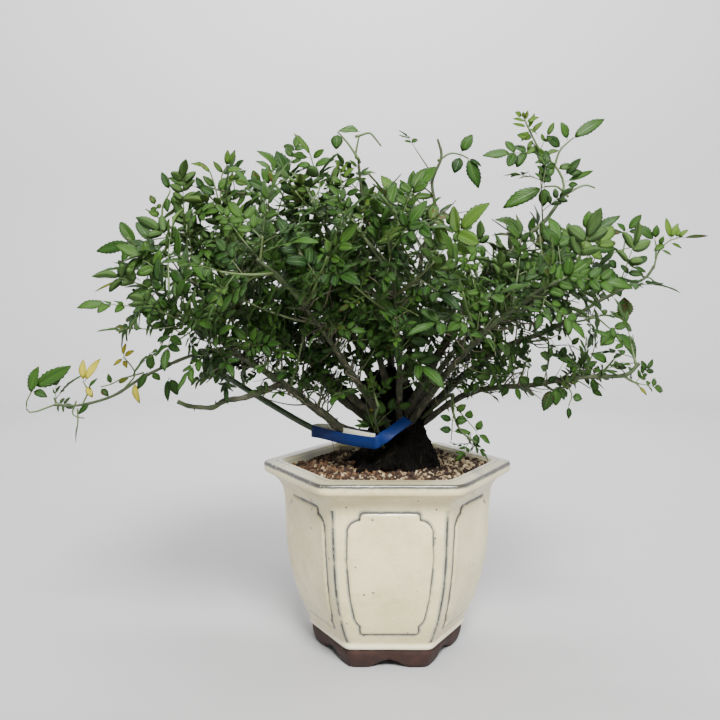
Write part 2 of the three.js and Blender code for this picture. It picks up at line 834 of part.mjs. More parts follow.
function finish(name, solid, material) {
  const { numProp, vertProperties, triVerts } = solid.getMesh();
  const position = new Float32Array((vertProperties.length / numProp) * 3);
  for (let i = 0; i < position.length / 3; i++)
    position.set(vertProperties.subarray(i * numProp, i * numProp + 3), i * 3);
  const geometry = new THREE.BufferGeometry();
  geometry.setAttribute("position", new THREE.BufferAttribute(position, 3));
  geometry.setIndex(new THREE.BufferAttribute(triVerts, 1));
  geometry.computeVertexNormals();
  const mesh = new THREE.Mesh(geometry, material);
  mesh.name = name;
  part.add(mesh);
  placed.push(solid);
}

// Whether a solid keeps clear of every piece that is already placed.
function clear(solid) {
  const { min, max } = solid.boundingBox();
  return placed.every((other) => {
    const box = other.boundingBox();
    const apart = [0, 1, 2].some(
      (i) => min[i] > box.max[i] + GAP || max[i] < box.min[i] - GAP,
    );
    return apart || solid.minGap(other, 1) > 0.2;
  });
}

const SLIDES = 16; // steps that bring a shoot to its seat

// A shoot moved back along its way until its foot is one gap from the cane that carries it.
function seated(solid, way) {
  let moved = solid;
  for (let i = 0; i < SLIDES; i++) {
    const off = moved.minGap(placed[CANE_PIECE], 12) - GAP;
    moved = moved.translate(...way.clone().multiplyScalar(-off).toArray());
  }
  return moved;
}

const glaze = new THREE.MeshStandardMaterial({ color: 0xd9d2b4, roughness: 0.35 });
const grit = new THREE.MeshStandardMaterial({ color: 0x6b5440, roughness: 0.95 });
const net = new THREE.MeshStandardMaterial({ color: 0x1c1c1c, roughness: 0.6 });
const bark = new THREE.MeshStandardMaterial({ color: 0x5d5243, roughness: 0.9 });
const youngBark = new THREE.MeshStandardMaterial({ color: 0x3c5a2a, roughness: 0.5 });
const plastic = new THREE.MeshStandardMaterial({ color: 0x1647a8, roughness: 0.35 });
const foliage = new THREE.MeshStandardMaterial({ color: 0x476a34, roughness: 0.55 });

finish("pot", pot(), glaze);
finish("drain_net", drainNet(), net);
finish("soil", soil(), grit);
finish("trunk", trunk(), bark);
finish("green_cane", greenCane(), youngBark);
finish("plant_tag", tag(), plastic);

EDGE_SHOOTS.forEach(({ name, stems, leaves }, i) => {
  const solids = stems.map((points) =>
    stem(through(points), [SHOOT_RADIUS, 0.8], 4, 4),
  );
  leaves.forEach((row, j) => solids.push(leaf(edgeLeaf(row, 9000 + i, j), row[2])));
  const way = vec(stems[0][1]).sub(vec(stems[0][0])).normalize();
  finish(`shoot_${name}`, seated(joined(solids), way), foliage);
});

const LONE_LEAF = 6; // one shoot in so many has a single leaf
const SHOOTS_SKIPPED = 2; // between two that are built, counted back from the cane's tip
const SPRAY_SIZE = 0.6; // canes with leaves smaller than this keep the shoot at their tip only

// A side shoot with the first leaves that keep clear of what is already placed, or nothing.
function leafyShoot(shoot) {
  const most = shoot.id % LONE_LEAF ? 2 : 1;
  const way = shoot.curve.getTangent(0);
  const bare = stem(shoot.curve, [SHOOT_RADIUS, 0.8], 4, 2);
  let solid = seated(bare, way);
  if (!clear(solid)) return null;
  const { min } = solid.boundingBox();
  const shift = vec(min).sub(vec(bare.boundingBox().min));
  let count = 0;
  for (const j of LEAF_ORDER) {
    const place = leafOf(shoot, j);
    if (!place || count === most) continue;
    place.base.add(shift);
    const blade = leaf(place, shoot.size < 0.9 ? 1 : 2);
    if (!clear(blade)) continue;
    solid = solid.add(blade);
    count += 1;
  }
  return count && solid.decompose().length === 1 ? solid : null;
}

CANES.forEach(({ from, every, leaf: size = 1 }, c) => {
  const run = caneCurves[c].getLength() - from;
  let skip = 0;
  for (let k = Math.floor(run / every + 0.5); k >= 0; k--) {
    const shoot = shootOf(c, k);
    if (!shoot || skip-- > 0) continue;
    const solid = leafyShoot(shoot);
    if (!solid) continue;
    skip = size < SPRAY_SIZE ? Infinity : SHOOTS_SKIPPED;
    finish(`shoot_${String(c + 1).padStart(2, "0")}_${k + 1}`, solid, foliage);
  }
});

export default part;
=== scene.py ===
# %% [markdown]
# # A rose bonsai in a glazed pot
# A shrub rose is grown here leaf by leaf, on a stump that stands in gritty soil, in a six-sided
# pot. The solids that carry the plant are loaded first, and each surface below is worked out
# around them. Lengths are written in millimetres and turned to metres by MM, so that they read
# like the sizes on a potter's or a gardener's sheet.

# %% Load the solid model
import math

import bpy
import numpy as np
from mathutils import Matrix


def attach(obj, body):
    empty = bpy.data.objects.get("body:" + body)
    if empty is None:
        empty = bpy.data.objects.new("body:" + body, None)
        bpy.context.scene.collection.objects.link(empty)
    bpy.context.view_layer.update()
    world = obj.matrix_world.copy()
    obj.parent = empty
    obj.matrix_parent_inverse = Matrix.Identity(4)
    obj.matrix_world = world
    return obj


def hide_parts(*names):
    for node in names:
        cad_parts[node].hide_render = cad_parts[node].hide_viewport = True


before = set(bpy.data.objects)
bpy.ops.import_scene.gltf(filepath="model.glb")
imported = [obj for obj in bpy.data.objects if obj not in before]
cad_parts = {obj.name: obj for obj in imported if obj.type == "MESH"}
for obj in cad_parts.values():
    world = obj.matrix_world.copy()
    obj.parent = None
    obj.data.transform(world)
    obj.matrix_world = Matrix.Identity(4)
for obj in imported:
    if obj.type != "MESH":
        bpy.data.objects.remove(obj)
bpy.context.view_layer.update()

MM = 0.001
BODY = "root"
GOLDEN = 2.39996  # the turn from one leaf to the next on a shoot, in radians
UP = np.array([0.0, 0.0, 1.0])
SIDEWAYS = np.array([1.0, 0.0, 0.0])
FRONT = np.array([0.0, -1.0, 0.0])

# %% [markdown]
# ## Repeatable chance
# A plant looks wrong when every leaf is alike, and a script is hard to work on when its chance
# changes from run to run. A large sine keeps only its fraction here, which gives the same scattered
# number for the same leaf each time, with no store of random numbers.

# %% Draws and noise
SEED = 7.31


def fraction(x):
    """What is left of a number above the whole number below it."""
    return x - np.floor(x)


def draw(i, k):
    """A repeatable number from 0 to 1 for two whole numbers: the fraction of a large sine."""
    return fraction(np.sin(i * 12.9898 + k * 78.233 + SEED) * 43758.5453)


def unit(v):
    """Vectors scaled to length one."""
    return v / np.linalg.norm(v, axis=-1, keepdims=True)


def square_to(v, axis):
    """The part of v that is square to a unit axis, scaled to length one."""
    return unit(v - np.sum(v * axis, axis=-1, keepdims=True) * axis)


def noise(points, size, seed=0):
    """Smooth values from -1 to 1: a random value at each corner of a lattice with cells of that
    size, blended across each cell by 3f^2 - 2f^3."""
    cell = points / size
    low = np.floor(cell)
    f = cell - low
    f = f * f * (3 - 2 * f)
    total = 0
    for corner in np.ndindex(2, 2, 2):
        i, j, k = np.moveaxis(low + corner, -1, 0)
        value = fraction(np.sin(i * 127.1 + j * 311.7 + k * 74.7 + seed * 19.19) * 43758.5453)
        total = total + value * np.prod(np.where(corner, f, 1 - f), axis=-1)
    return 2 * total - 1


def layered(points, size, layers, seed=0):
    """Noise added to finer noise, each layer half as large and half as strong as the one before."""
    return sum(noise(points, size / 2**n, seed + n) / 2**n for n in range(layers))


def smooth_step(x):
    """0 below 0, 1 above 1, and 3x^2 - 2x^3 between."""
    x = np.clip(x, 0, 1)
    return x * x * (3 - 2 * x)


# %% [markdown]
# ## Paths
# A cane is a smooth line through a few points. Each stretch is a cubic whose slope at a point is
# half the step between that point's neighbours, so the line passes through every point without
# a corner. Blender's own curves could do this, but a formula gives points and directions at once.

# %% Smooth paths
def path_point(points, t):
    """Points at t, from 0 to 1, on the smooth line through the given points."""
    ends = np.vstack([2 * points[0] - points[1], points, 2 * points[-1] - points[-2]])
    spans = len(points) - 1
    t = np.asarray(t, float)
    whole = np.clip(np.floor(t * spans), 0, spans - 1).astype(int)
    w = (t * spans - whole)[..., None]
    before, start, end, after = (ends[whole + n] for n in range(4))
    out, arrive = 0.5 * (end - before), 0.5 * (after - start)
    cubic = 2 * (start - end) + out + arrive
    return start + out * w + (3 * (end - start) - 2 * out - arrive) * w**2 + cubic * w**3


def along_path(points, share):
    """The points and unit directions at shares of a smooth line's length, and that length."""
    t = np.linspace(0, 1, 201)
    steps = np.linalg.norm(np.diff(path_point(points, t), axis=0), axis=1)
    run = np.concatenate([[0], np.cumsum(steps)])
    where = np.interp(np.asarray(share, float) * run[-1], run, t)
    ahead = path_point(points, np.minimum(where + 1e-4, 1))
    behind = path_point(points, np.maximum(where - 1e-4, 0))
    return path_point(points, where), unit(ahead - behind), run[-1]


# %% [markdown]
# ## From arrays to meshes
# Every piece is one or more parts: a block of points, the faces between them, and values on the
# points that its material can read. foreach_set hands a whole block to Blender at once, which is
# some hundred times faster than making vertices one by one.

# %% Parts and pieces
def part(points, faces, uv=None, **values):
    """Points (n, 3), faces as a list of (corner numbers, material number), and values by name."""
    points = np.asarray(points, float).reshape(-1, 3)
    return {"points": points, "faces": faces, "uv": uv, "values": values}


def new_object(name, data):
    """An object around a mesh, a lamp or a camera, put into the scene."""
    made = bpy.data.objects.new(name, data)
    bpy.context.scene.collection.objects.link(made)
    return made


def add_values(mesh, parts, corners):
    """Stores each named value of the parts on the points, with 0 where a part doesn't give it."""
    for name in sorted({name for p in parts for name in p["values"]}):
        rows = [np.asarray(p["values"].get(name, 0.0), float) for p in parts]
        wide = any(r.ndim == 2 or (r.ndim == 1 and r.shape == (3,)) for r in rows)
        shape = (3,) if wide else ()
        full = [np.broadcast_to(r, (len(p["points"]), *shape)) for r, p in zip(rows, parts)]
        kind, key = ("FLOAT_VECTOR", "vector") if wide else ("FLOAT", "value")
        mesh.attributes.new(name, kind, "POINT").data.foreach_set(key, np.concatenate(full).ravel())
    if any(p["uv"] is not None for p in parts):
        uv = [np.zeros((len(p["points"]), 2)) if p["uv"] is None else p["uv"] for p in parts]
        layer = mesh.uv_layers.new(name="UVMap")
        layer.data.foreach_set("uv", np.vstack(uv)[corners].ravel())


def new_mesh(name, parts, materials, smooth=True):
    """A mesh of parts, one after the other, each with its corner numbers moved up."""
    mesh = bpy.data.meshes.new(name)
    offsets = np.cumsum([0] + [len(p["points"]) for p in parts])
    points = np.vstack([p["points"] for p in parts])
    blocks = [(f + off, n) for p, off in zip(parts, offsets) for f, n in p["faces"]]
    corners = np.concatenate([f.ravel() for f, _ in blocks])
    sizes = np.concatenate([np.full(len(f), f.shape[1]) for f, _ in blocks])
    numbers = np.concatenate([np.full(len(f), n) for f, n in blocks])
    mesh.vertices.add(len(points))
    mesh.vertices.foreach_set("co", points.ravel())
    mesh.loops.add(len(corners))
    mesh.loops.foreach_set("vertex_index", corners.astype(np.int32))
    mesh.polygons.add(len(sizes))
    mesh.polygons.foreach_set("loop_start", np.concatenate([[0], np.cumsum(sizes)[:-1]]))
    mesh.polygons.foreach_set("material_index", numbers.astype(np.int32))
    add_values(mesh, parts, corners)
    mesh.polygons.foreach_set("use_smooth", np.full(len(sizes), smooth))
    mesh.update(calc_edges=True)
    mesh.validate()
    for material in materials:
        mesh.materials.append(material)
    return mesh


def piece(name, parts, materials, replaces=(), smooth=True):
    """One object from parts. It rides on the plant's body and stands for the nodes it replaces."""
    made = new_object(name, new_mesh(name, parts, materials, smooth))
    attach(made, BODY)
    if replaces:
        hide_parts(*replaces)
    made.data.calc_loop_triangles()
    print(name, len(made.data.loop_triangles), "triangles")


def grid_faces(rows, columns, wrap_rows=False):
    """Quads over a grid of points whose columns close into a ring."""
    i = np.arange(rows if wrap_rows else rows - 1)[:, None]
    j = np.arange(columns)[None, :]
    up, across = (i + 1) % rows, (j + 1) % columns
    quads = np.stack([i * columns + j, i * columns + across, up * columns + across, up * columns + j])
    return quads.reshape(4, -1).T


def closed_faces(rows, columns):
    """The faces of a closed form: quads over its rings, and a fan at each end, whose two middle
    points are numbered after the rings."""
    j = np.arange(columns)
    after = (j + 1) % columns
    start = rows * columns
    last = start - columns
    low = np.stack([np.full(columns, start), after, j], axis=1)
    high = np.stack([np.full(columns, start + 1), last + j, last + after], axis=1)
    return grid_faces(rows, columns), low, high


def closed_rings(rings):
    """A part over rings (rows, columns, 3) that run anticlockwise seen from the next, closed by a
    middle point at each end."""
    points = np.vstack([rings.reshape(-1, 3), rings[0].mean(0), rings[-1].mean(0)])
    return part(points, [(block, 0) for block in closed_faces(*rings.shape[:2])])


# %% [markdown]
# ## Tubes
# Canes, shoots, leaf ribs, roots and thorns are all tapering tubes. A ring of points is set
# square to the path at each step: centre + radius (cos a first + sin a second). All the tubes of
# one kind are made in a single array, and each keeps a copy of itself laid out straight, so that
# its bark can run along it.

# %% Tubes along paths
def tubes(paths, radii, sides, material=0, rough=0.0, **values):
    """Tubes along paths (tubes, steps, 3) with radii (tubes, steps), closed at both ends. Rough
    pushes the skin in and out by that share of the radius."""
    count, steps = radii.shape
    direction = unit(np.gradient(paths, axis=1))
    lie = unit(paths[:, -1:] - paths[:, :1])
    guide = np.where(np.abs(lie[..., 2:]) > 0.8, SIDEWAYS, UP)
    first = square_to(guide, direction)
    second = np.cross(direction, first)
    turn = 2 * np.pi * np.arange(sides) / sides
    ring = np.cos(turn)[:, None] * first[:, :, None] + np.sin(turn)[:, None] * second[:, :, None]
    run = np.cumsum(np.linalg.norm(np.diff(paths, axis=1, prepend=paths[:, :1]), axis=2), axis=1)
    flat = np.stack(np.broadcast_arrays(
        radii[:, :, None] * np.cos(turn), radii[:, :, None] * np.sin(turn), run[:, :, None]), axis=-1)
    apart = np.arange(count)[:, None, None, None] * np.array([0.013, 0.017, 0.37])
    straight = flat + apart
    uneven = layered(straight * [1, 1, 0.35], 4 * MM, 3, 5)[..., None]
    rings = paths[:, :, None] + radii[:, :, None, None] * (1 + rough * uneven) * ring
    skin = np.concatenate([rings.reshape(count, -1, 3), paths[:, :1], paths[:, -1:]], axis=1)
    laid = np.concatenate([straight.reshape(count, -1, 3), straight[:, :1, 0], straight[:, -1:, 0]], axis=1)
    size = skin.shape[1]
    step = (size * np.arange(count))[:, None, None]
    faces = [((block + step).reshape(-1, block.shape[1]), material) for block in closed_faces(steps, sides)]
    share = np.concatenate([np.repeat(np.linspace(0, 1, steps), sides), [0, 1]])
    spread = {name: np.repeat(np.broadcast_to(v, count), size) for name, v in values.items()}
    return part(skin, faces, straight=laid.reshape(-1, 3), share=np.tile(share, count), **spread)


# %% [markdown]
# ## Material helpers
# A material is a small network of nodes. This helper adds a node, sets its choices and fills its
# inputs: a value goes into a socket, and another node's output is linked to it.

# %% Adding nodes
def add(tree, kind, inputs=None, **choices):
    """A new node of a tree, with its choices set and its inputs filled or linked."""
    made = tree.nodes.new(kind)
    for key, value in choices.items():
        setattr(made, key, value)
    for key, value in (inputs or {}).items():
        if isinstance(value, bpy.types.NodeSocket):
            tree.links.new(value, made.inputs[key])
        else:
            made.inputs[key].default_value = value
    return made


def math_node(tree, operation, a, b=0.0, c=0.0, clamp=False):
    """The output of a Math node."""
    return add(tree, "ShaderNodeMath", {0: a, 1: b, 2: c}, operation=operation, use_clamp=clamp).outputs[0]


def product(tree, a, b, clamp=False):
    """The output of a Math node that multiplies."""
    return math_node(tree, "MULTIPLY", a, b, clamp=clamp)


def strongest(tree, masks):
    """The highest of several masks, by a row of Math nodes."""
    highest, *rest = masks
    for mask in rest:
        highest = math_node(tree, "MAXIMUM", highest, mask)
    return highest


def blend(tree, share, low, high):
    """A colour between low and high, each a socket or its red, green and blue."""
    low, high = (c if isinstance(c, bpy.types.NodeSocket) else (*c, 1) for c in (low, high))
    return add(tree, "ShaderNodeMix", {0: share, 6: low, 7: high}, data_type="RGBA").outputs[2]


def between(tree, value, low, high):
    """A value turned to 0 at low and to 1 at high, with soft ends."""
    made = add(tree, "ShaderNodeMapRange", {0: value, 1: low, 2: high}, interpolation_type="SMOOTHSTEP")
    return made.outputs[0]


def stored(tree, name, output="Fac"):
    """A value that the piece's mesh stores by name."""
    return add(tree, "ShaderNodeAttribute", attribute_name=name).outputs[output]


def cloud(tree, where, scale, detail=2.0):
    """Soft noise from 0 to 1."""
    inputs = {"Vector": where, "Scale": scale, "Detail": detail}
    return add(tree, "ShaderNodeTexNoise", inputs).outputs["Fac"]


def place(tree):
    """The place of each point on its piece."""
    return add(tree, "ShaderNodeTexCoord").outputs["Object"]


def new_group(name, values, outputs):
    """An empty node group: its vector, its values by name, and the names of its outputs."""
    group = bpy.data.node_groups.new(name, "ShaderNodeTree")
    group.interface.new_socket("Vector", in_out="INPUT", socket_type="NodeSocketVector")
    for label, value in values.items():
        group.interface.new_socket(label, in_out="INPUT", socket_type="NodeSocketFloat").default_value = value
    for label in outputs:
        group.interface.new_socket(label, in_out="OUTPUT", socket_type="NodeSocketFloat")
    return group, group.nodes.new("NodeGroupInput").outputs, group.nodes.new("NodeGroupOutput").inputs


def use(tree, group, **inputs):
    """The outputs of a group placed in a material with its own values."""
    return add(tree, "ShaderNodeGroup", inputs, node_tree=group).outputs


def new_material(name, rough, **fixed):
    """A material with one Principled BSDF, and sockets that are the same all over set on it."""
    material = bpy.data.materials.new(name)
    material.use_nodes = True
    shader = material.node_tree.nodes["Principled BSDF"]
    shader.inputs["Roughness"].default_value = rough
    for key, value in fixed.items():
        shader.inputs[key.replace("_", " ")].default_value = value
    return material, material.node_tree, shader.inputs


# %% [markdown]
# ## Effects that several finishes share
# Glaze, clay, bark and leaves all have patches where one tone drifts into another, and all have
# small specks. Each effect is one node group with its own inputs, so that a change to it shows
# in every finish. The groups put out masks only, and the shader stays in the material.

# %% Patches, specks and streaks
def make_patches():
    """A mask of soft patches: fine noise that passes from 0 at Low to 1 at High."""
    group, given, out = new_group("patches", {"Scale": 50.0, "Low": 0.4, "High": 0.6}, ["Mask"])
    cloud = add(group, "ShaderNodeTexNoise",
                {"Vector": given["Vector"], "Scale": given["Scale"], "Detail": 4.0, "Roughness": 0.6})
    mask = between(group, cloud.outputs["Fac"], given["Low"], given["High"])
    group.links.new(mask, out["Mask"])
    return group


def make_specks():
    """A mask of round specks: the cells whose own random value is under Share hold a speck, as
    wide as Size makes it."""
    group, given, out = new_group("specks", {"Scale": 300.0, "Size": 0.2, "Share": 0.3}, ["Mask"])
    cells = add(group, "ShaderNodeTexVoronoi", {"Vector": given["Vector"], "Scale": given["Scale"]})
    inside = math_node(group, "LESS_THAN", cells.outputs["Distance"], given["Size"])
    cell_value = add(group, "ShaderNodeSeparateColor", {0: cells.outputs["Color"]}).outputs[0]
    chosen = math_node(group, "LESS_THAN", cell_value, given["Share"])
    group.links.new(product(group, inside, chosen), out["Mask"])
    return group


def make_streaks():
    """Furrows that run along a stem: noise squeezed along the third axis, folded at its middle so
    that each fold is a sharp ridge."""
    group, given, out = new_group("streaks", {"Scale": 400.0, "Stretch": 4.0}, ["Height"])
    parts = add(group, "ShaderNodeSeparateXYZ", {0: given["Vector"]}).outputs
    along = math_node(group, "DIVIDE", parts[2], given["Stretch"])
    squeezed = add(group, "ShaderNodeCombineXYZ", {0: parts[0], 1: parts[1], 2: along}).outputs[0]
    cloud = add(group, "ShaderNodeTexNoise",
                {"Vector": squeezed, "Scale": given["Scale"], "Detail": 5.0, "Roughness": 0.65})
    centred = math_node(group, "SUBTRACT", cloud.outputs["Fac"], 0.5)
    folded = product(group, math_node(group, "ABSOLUTE", centred), 4.0, clamp=True)
    group.links.new(folded, out["Height"])
    return group


PATCHES = make_patches()
SPECKS = make_specks()
STREAKS = make_streaks()


def patches(tree, where, scale, low, high):
    """The patches group placed in a material."""
    return use(tree, PATCHES, Vector=where, Scale=scale, Low=low, High=high)["Mask"]


def specks(tree, where, scale, size, share):
    """The specks group placed in a material."""
    return use(tree, SPECKS, Vector=where, Scale=scale, Size=size, Share=share)["Mask"]


def streaks(tree, where, scale, stretch):
    """The streaks group placed in a material."""
    return use(tree, STREAKS, Vector=where, Scale=scale, Stretch=stretch)["Height"]


def bump(tree, height, depth):
    """A normal bent by a height, in metres where height is 1."""
    return add(tree, "ShaderNodeBump", {"Height": height, "Distance": depth, "Strength": 1.0}).outputs[0]


# %% [markdown]
# ## The camera
# The view is level with the crown and looks down by four degrees and a half, from two thirds of a
# metre in front of the pot. The pot's six rim corners fix these numbers: with
# them, all six fall where they do in the view that is matched.

# %% Camera
VIEW_PLACE = (-0.0199, -0.6701, 0.2886)
VIEW_DOWN = 4.427
VIEW_TURN = 0.004
SENSOR = 36.0
FOCAL_SHARE = 1.1381181  # focal length as a share of the picture's width


def make_camera():
    """A level camera in front of the pot, turned down a little."""
    lens = bpy.data.cameras.new("camera")
    lens.sensor_width = SENSOR
    lens.lens = SENSOR * FOCAL_SHARE
    lens.clip_start = 0.01
    made = new_object("camera", lens)
    made.location = VIEW_PLACE
    made.rotation_euler = (math.radians(90 - VIEW_DOWN), 0, VIEW_TURN)
    bpy.context.scene.camera = made


make_camera()

# %% [markdown]
# ## The pot
# A slip-cast stoneware pot: six flat sides that belly out, a flared rim with a rolled lip, and a
# raised cartouche on each side. One closed grid makes it: a profile of corner radius and height
# is carried round a six-sided outline with soft corners. The profile starts at the foot, climbs
# the wall, turns over the lip, and comes back through the inside and the drain hole.

# %% Pot outline and profile
SIDE_COLUMNS = 46
SHARPNESS = 37.0  # of the outline's corners: a higher number makes a tighter corner
HALF_SIDE = math.pi / 6

# Corner radius and height along the profile, in millimetres, and the rows spread over each stretch.
POT_PROFILE = [
    ([(58.5, 0), (60, 1.2), (61.8, 4.5), (63.4, 10), (63.8, 14), (63.2, 16.2), (65.1, 16.5)], 18),
    ([(65.1, 16.5), (66.1, 18), (65.9, 20), (65.7, 22), (70, 30), (76.3, 45), (82, 66), (85, 88),
      (86.2, 108), (87.6, 129), (90.8, 136.5), (95.4, 141.2), (99.6, 144)], 112),
    ([(99.6, 144), (102.6, 145), (103.6, 147), (103.9, 150), (103.6, 152), (102.6, 153.1),
      (99.5, 153.5), (94, 154.1), (90, 154.4), (88, 153.8), (86.7, 151.8)], 34),
    ([(86.7, 151.8), (84.6, 145), (82, 138), (79, 128), (76.5, 86), (68, 45), (58, 22), (50, 16)], 18),
    ([(50, 16), (8, 16)], 3),
    ([(8, 16), (8, 8)], 2),
    ([(8, 8), (50, 8)], 3),
    ([(50, 8), (46, 0)], 4),
    ([(46, 0), (58.5, 0)], 5),
]
WALL, LIP, INSIDE, HOLE = 1, 2, 3, 5  # the stretches that are told apart below
FOOT = (0, 7, 8)
LIP_EDGE = 153.1 * MM  # height of the lip's top outer edge
LIP_WIDTH = 15 * MM  # how far from that edge the lip's lines may lie
FOOT_TOP = 17 * MM
NECK = 131 * MM


def six_sides(columns):
    """For each column of a ring: its angle, and its angle from the middle of its side. Columns
    stand evenly along each flat side, from one corner on."""
    across = np.arange(columns) / columns * 2 - 1
    offset = np.arctan(across * math.tan(HALF_SIDE))
    middles = (np.arange(6) + 0.5) * 2 * HALF_SIDE
    return (middles[:, None] + offset).ravel(), np.tile(offset, 6)


def six_sided_reach(offset):
    """How far the soft-cornered outline reaches at that angle, as a share of its sharp corner's
    radius: cos 30 / (cos^p of the angle to each near side, added)^(1/p)."""
    here = np.cos(offset) ** SHARPNESS
    next_side = np.cos(2 * HALF_SIDE - np.abs(offset)) ** SHARPNESS
    return math.cos(HALF_SIDE) / (here + next_side) ** (1 / SHARPNESS)


def profile_rows(stretches):
    """Rows of (corner radius, height) along a profile, and the number of each row's stretch."""
    rows = [along_path(np.array(line) * MM, np.arange(n) / n)[0] for line, n in stretches]
    return np.vstack(rows), np.repeat(np.arange(len(rows)), [n for _, n in stretches])


# %% [markdown]
# ## The cartouche and the feet
# The cartouche is a rounded panel that narrows towards the foot, with a stepped tab above and
# below. Its distance function says how far inside its outline a point lies, and the wall rises
# where that turns positive. The apron between two feet is cut to an ogee, which is a height
# that lifts the foot's rows.

# %% Pot relief
PANEL_RISE = 1.5 * MM
PANEL_WIDTHS = np.array([(31, 22), (46, 26), (66, 29.5), (92, 31.5), (123, 31)]) * MM
ARCH_HALF = 18 * MM
ARCH_RISE = 6.3 * MM
TICK = (22.5 * MM, 124 * MM, 35.5 * MM)  # where the panel meets its tabs: aside, above and below
FAR = 0.05  # stored where a line is nowhere near


def box_inside(s, z, half, low, high, corner):
    """How far a point lies inside a round-cornered box: corner - the length from the smaller box."""
    over_s = np.abs(s) - half + corner
    over_z = np.abs(z - (low + high) / 2) - (high - low) / 2 + corner
    outside = np.hypot(np.maximum(over_s, 0), np.maximum(over_z, 0))
    return corner - outside - np.minimum(np.maximum(over_s, over_z), 0)


def panel_inside(s, z):
    """How far a point of a side lies inside the cartouche: the farther of its panel and its tabs."""
    half = np.interp(z, PANEL_WIDTHS[:, 0], PANEL_WIDTHS[:, 1])
    panel = box_inside(s, z, half, 36 * MM, 123 * MM, 9 * MM)
    tabs = box_inside(s, z, 21.5 * MM, 31.5 * MM, 128.5 * MM, 1.2 * MM)
    return np.maximum(panel, tabs)


def arch(s):
    """The apron's lift between two feet: a smooth shoulder with a small peak at the middle."""
    x = np.clip(1 - np.abs(s) / ARCH_HALF, 0, 1)
    return ARCH_RISE * (0.6 * smooth_step(1.35 * x) + 0.4 * x**2.2)


def pot_part():
    """The pot's grid, with the places where its glaze runs thin stored on its points."""
    rows, stretch = profile_rows(POT_PROFILE)
    angle, offset = six_sides(SIDE_COLUMNS)
    radius, height = rows[:, :1], rows[:, 1:]
    bored = (stretch == HOLE) | (radius[:, 0] < 9 * MM)
    reach = np.where(bored[:, None], 1.0, six_sided_reach(offset))
    s = radius * reach * np.sin(offset)
    wall = (stretch == WALL)[:, None]
    inside = panel_inside(s, height)
    rise = PANEL_RISE * smooth_step(inside / (2.2 * MM) + 0.5)
    groove = 0.55 * MM * np.exp(-(((inside + 1.0 * MM) / (0.9 * MM)) ** 2))
    out = radius * reach + np.where(wall, rise - groove, 0)
    foot = np.isin(stretch, FOOT)[:, None]
    lift = np.where(foot, arch(s) * (1 - np.clip(height / FOOT_TOP, 0, 1)), 0)
    x, y, z = np.broadcast_arrays(out * np.cos(angle), out * np.sin(angle), height + lift)
    points = np.stack([x, y, z], axis=-1)
    uneven = 0.25 * MM * layered(points, 30 * MM, 2, 3)
    points[..., 0] += uneven * np.cos(angle)
    points[..., 1] += uneven * np.sin(angle)
    to_corner = radius * (HALF_SIDE - np.abs(offset))
    on_wall = wall & (height < NECK) & (height > FOOT_TOP + 4 * MM)
    run = np.cumsum(np.linalg.norm(np.diff(rows, axis=0, prepend=rows[:1]), axis=1))
    lip = run - run[np.argmax(np.where(stretch == LIP, rows[:, 0] + 3 * rows[:, 1], 0))]
    lip = np.where(np.abs(lip) < LIP_WIDTH, lip, FAR)
    tick = np.minimum(np.hypot(np.abs(s) - TICK[0], height - TICK[1]),
                      np.hypot(np.abs(s) - TICK[0], height - TICK[2]) + 0.8 * MM)
    # inner marks the inside wall, which the glaze darkens as painted shade
    shown = {"panel": np.where(wall, inside, FAR), "corner": np.where(on_wall, to_corner, FAR),
             "lip": lip[:, None] + 0 * s, "tick": np.where(wall, tick, FAR),
             "inner": (stretch[:, None] == INSIDE) + 0 * s}
    faces = [(grid_faces(len(rows), len(angle), wrap_rows=True), 0)]
    return part(points, faces, **{name: value.ravel() for name, value in shown.items()})


# %% [markdown]
# ## Glaze over clay
# The glaze is a soft cream with a faint cloud in it. It is browner under the lip, where a tan stain
# also paints the shade that the lip casts, and darker on the lip's top and on the inside, which is
# painted shade. Where it runs thin over an edge or gathers in a cut line, the iron in the clay shows
# as a broken dark line with a blue-grey rim. The mesh stores how far each point is from those edges,
# and the material draws the lines from that, so they stay crisp. The lower roll is whiter, with a
# painted highlight along it. Below its lower roll the clay is bare: red-brown, matt and slightly sandy.

# %% Pot material
def drawn_line(tree, way, at, half, wobble):
    """A line of some half width where a stored distance is at a value, moved by a wobble."""
    moved = math_node(tree, "ADD", math_node(tree, "SUBTRACT", way, at), wobble)
    return between(tree, math_node(tree, "ABSOLUTE", moved), half, 0.35 * half)


def iron_lines(tree, where):
    """Two masks: the iron lines, broken by fine patches and long gaps, and the rim beside them."""
    way = {name: stored(tree, name) for name in ("panel", "corner", "lip")}
    wobble = product(tree, math_node(tree, "SUBTRACT", cloud(tree, where, 180.0), 0.5), 0.0012)
    broken = patches(tree, where, 230.0, 0.26, 0.42)
    gaps = patches(tree, where, 42.0, 0.3, 0.5)
    panel = product(tree, drawn_line(tree, way["panel"], -0.0008, 0.0011, wobble),
                    math_node(tree, "MULTIPLY_ADD", gaps, 0.35, 0.65))
    corner = product(tree, drawn_line(tree, way["corner"], 0.0, 0.0014, wobble), gaps)
    lip = drawn_line(tree, way["lip"], -0.0011, 0.0026, wobble)
    brim = drawn_line(tree, way["lip"], 0.0095, 0.0007, wobble)
    edges = strongest(tree, [product(tree, lip, 0.95), product(tree, corner, 0.95), product(tree, brim, 0.8)])
    thin = strongest(tree, [product(tree, edges, broken), product(tree, panel, 0.85)])
    rim = strongest(tree, [drawn_line(tree, way["corner"], 0.0, 0.0034, wobble),
                           drawn_line(tree, way["lip"], -0.001, 0.0034, wobble),
                           drawn_line(tree, way["panel"], -0.0012, 0.0022, wobble)])
    return thin, product(tree, product(tree, rim, gaps), 0.7)


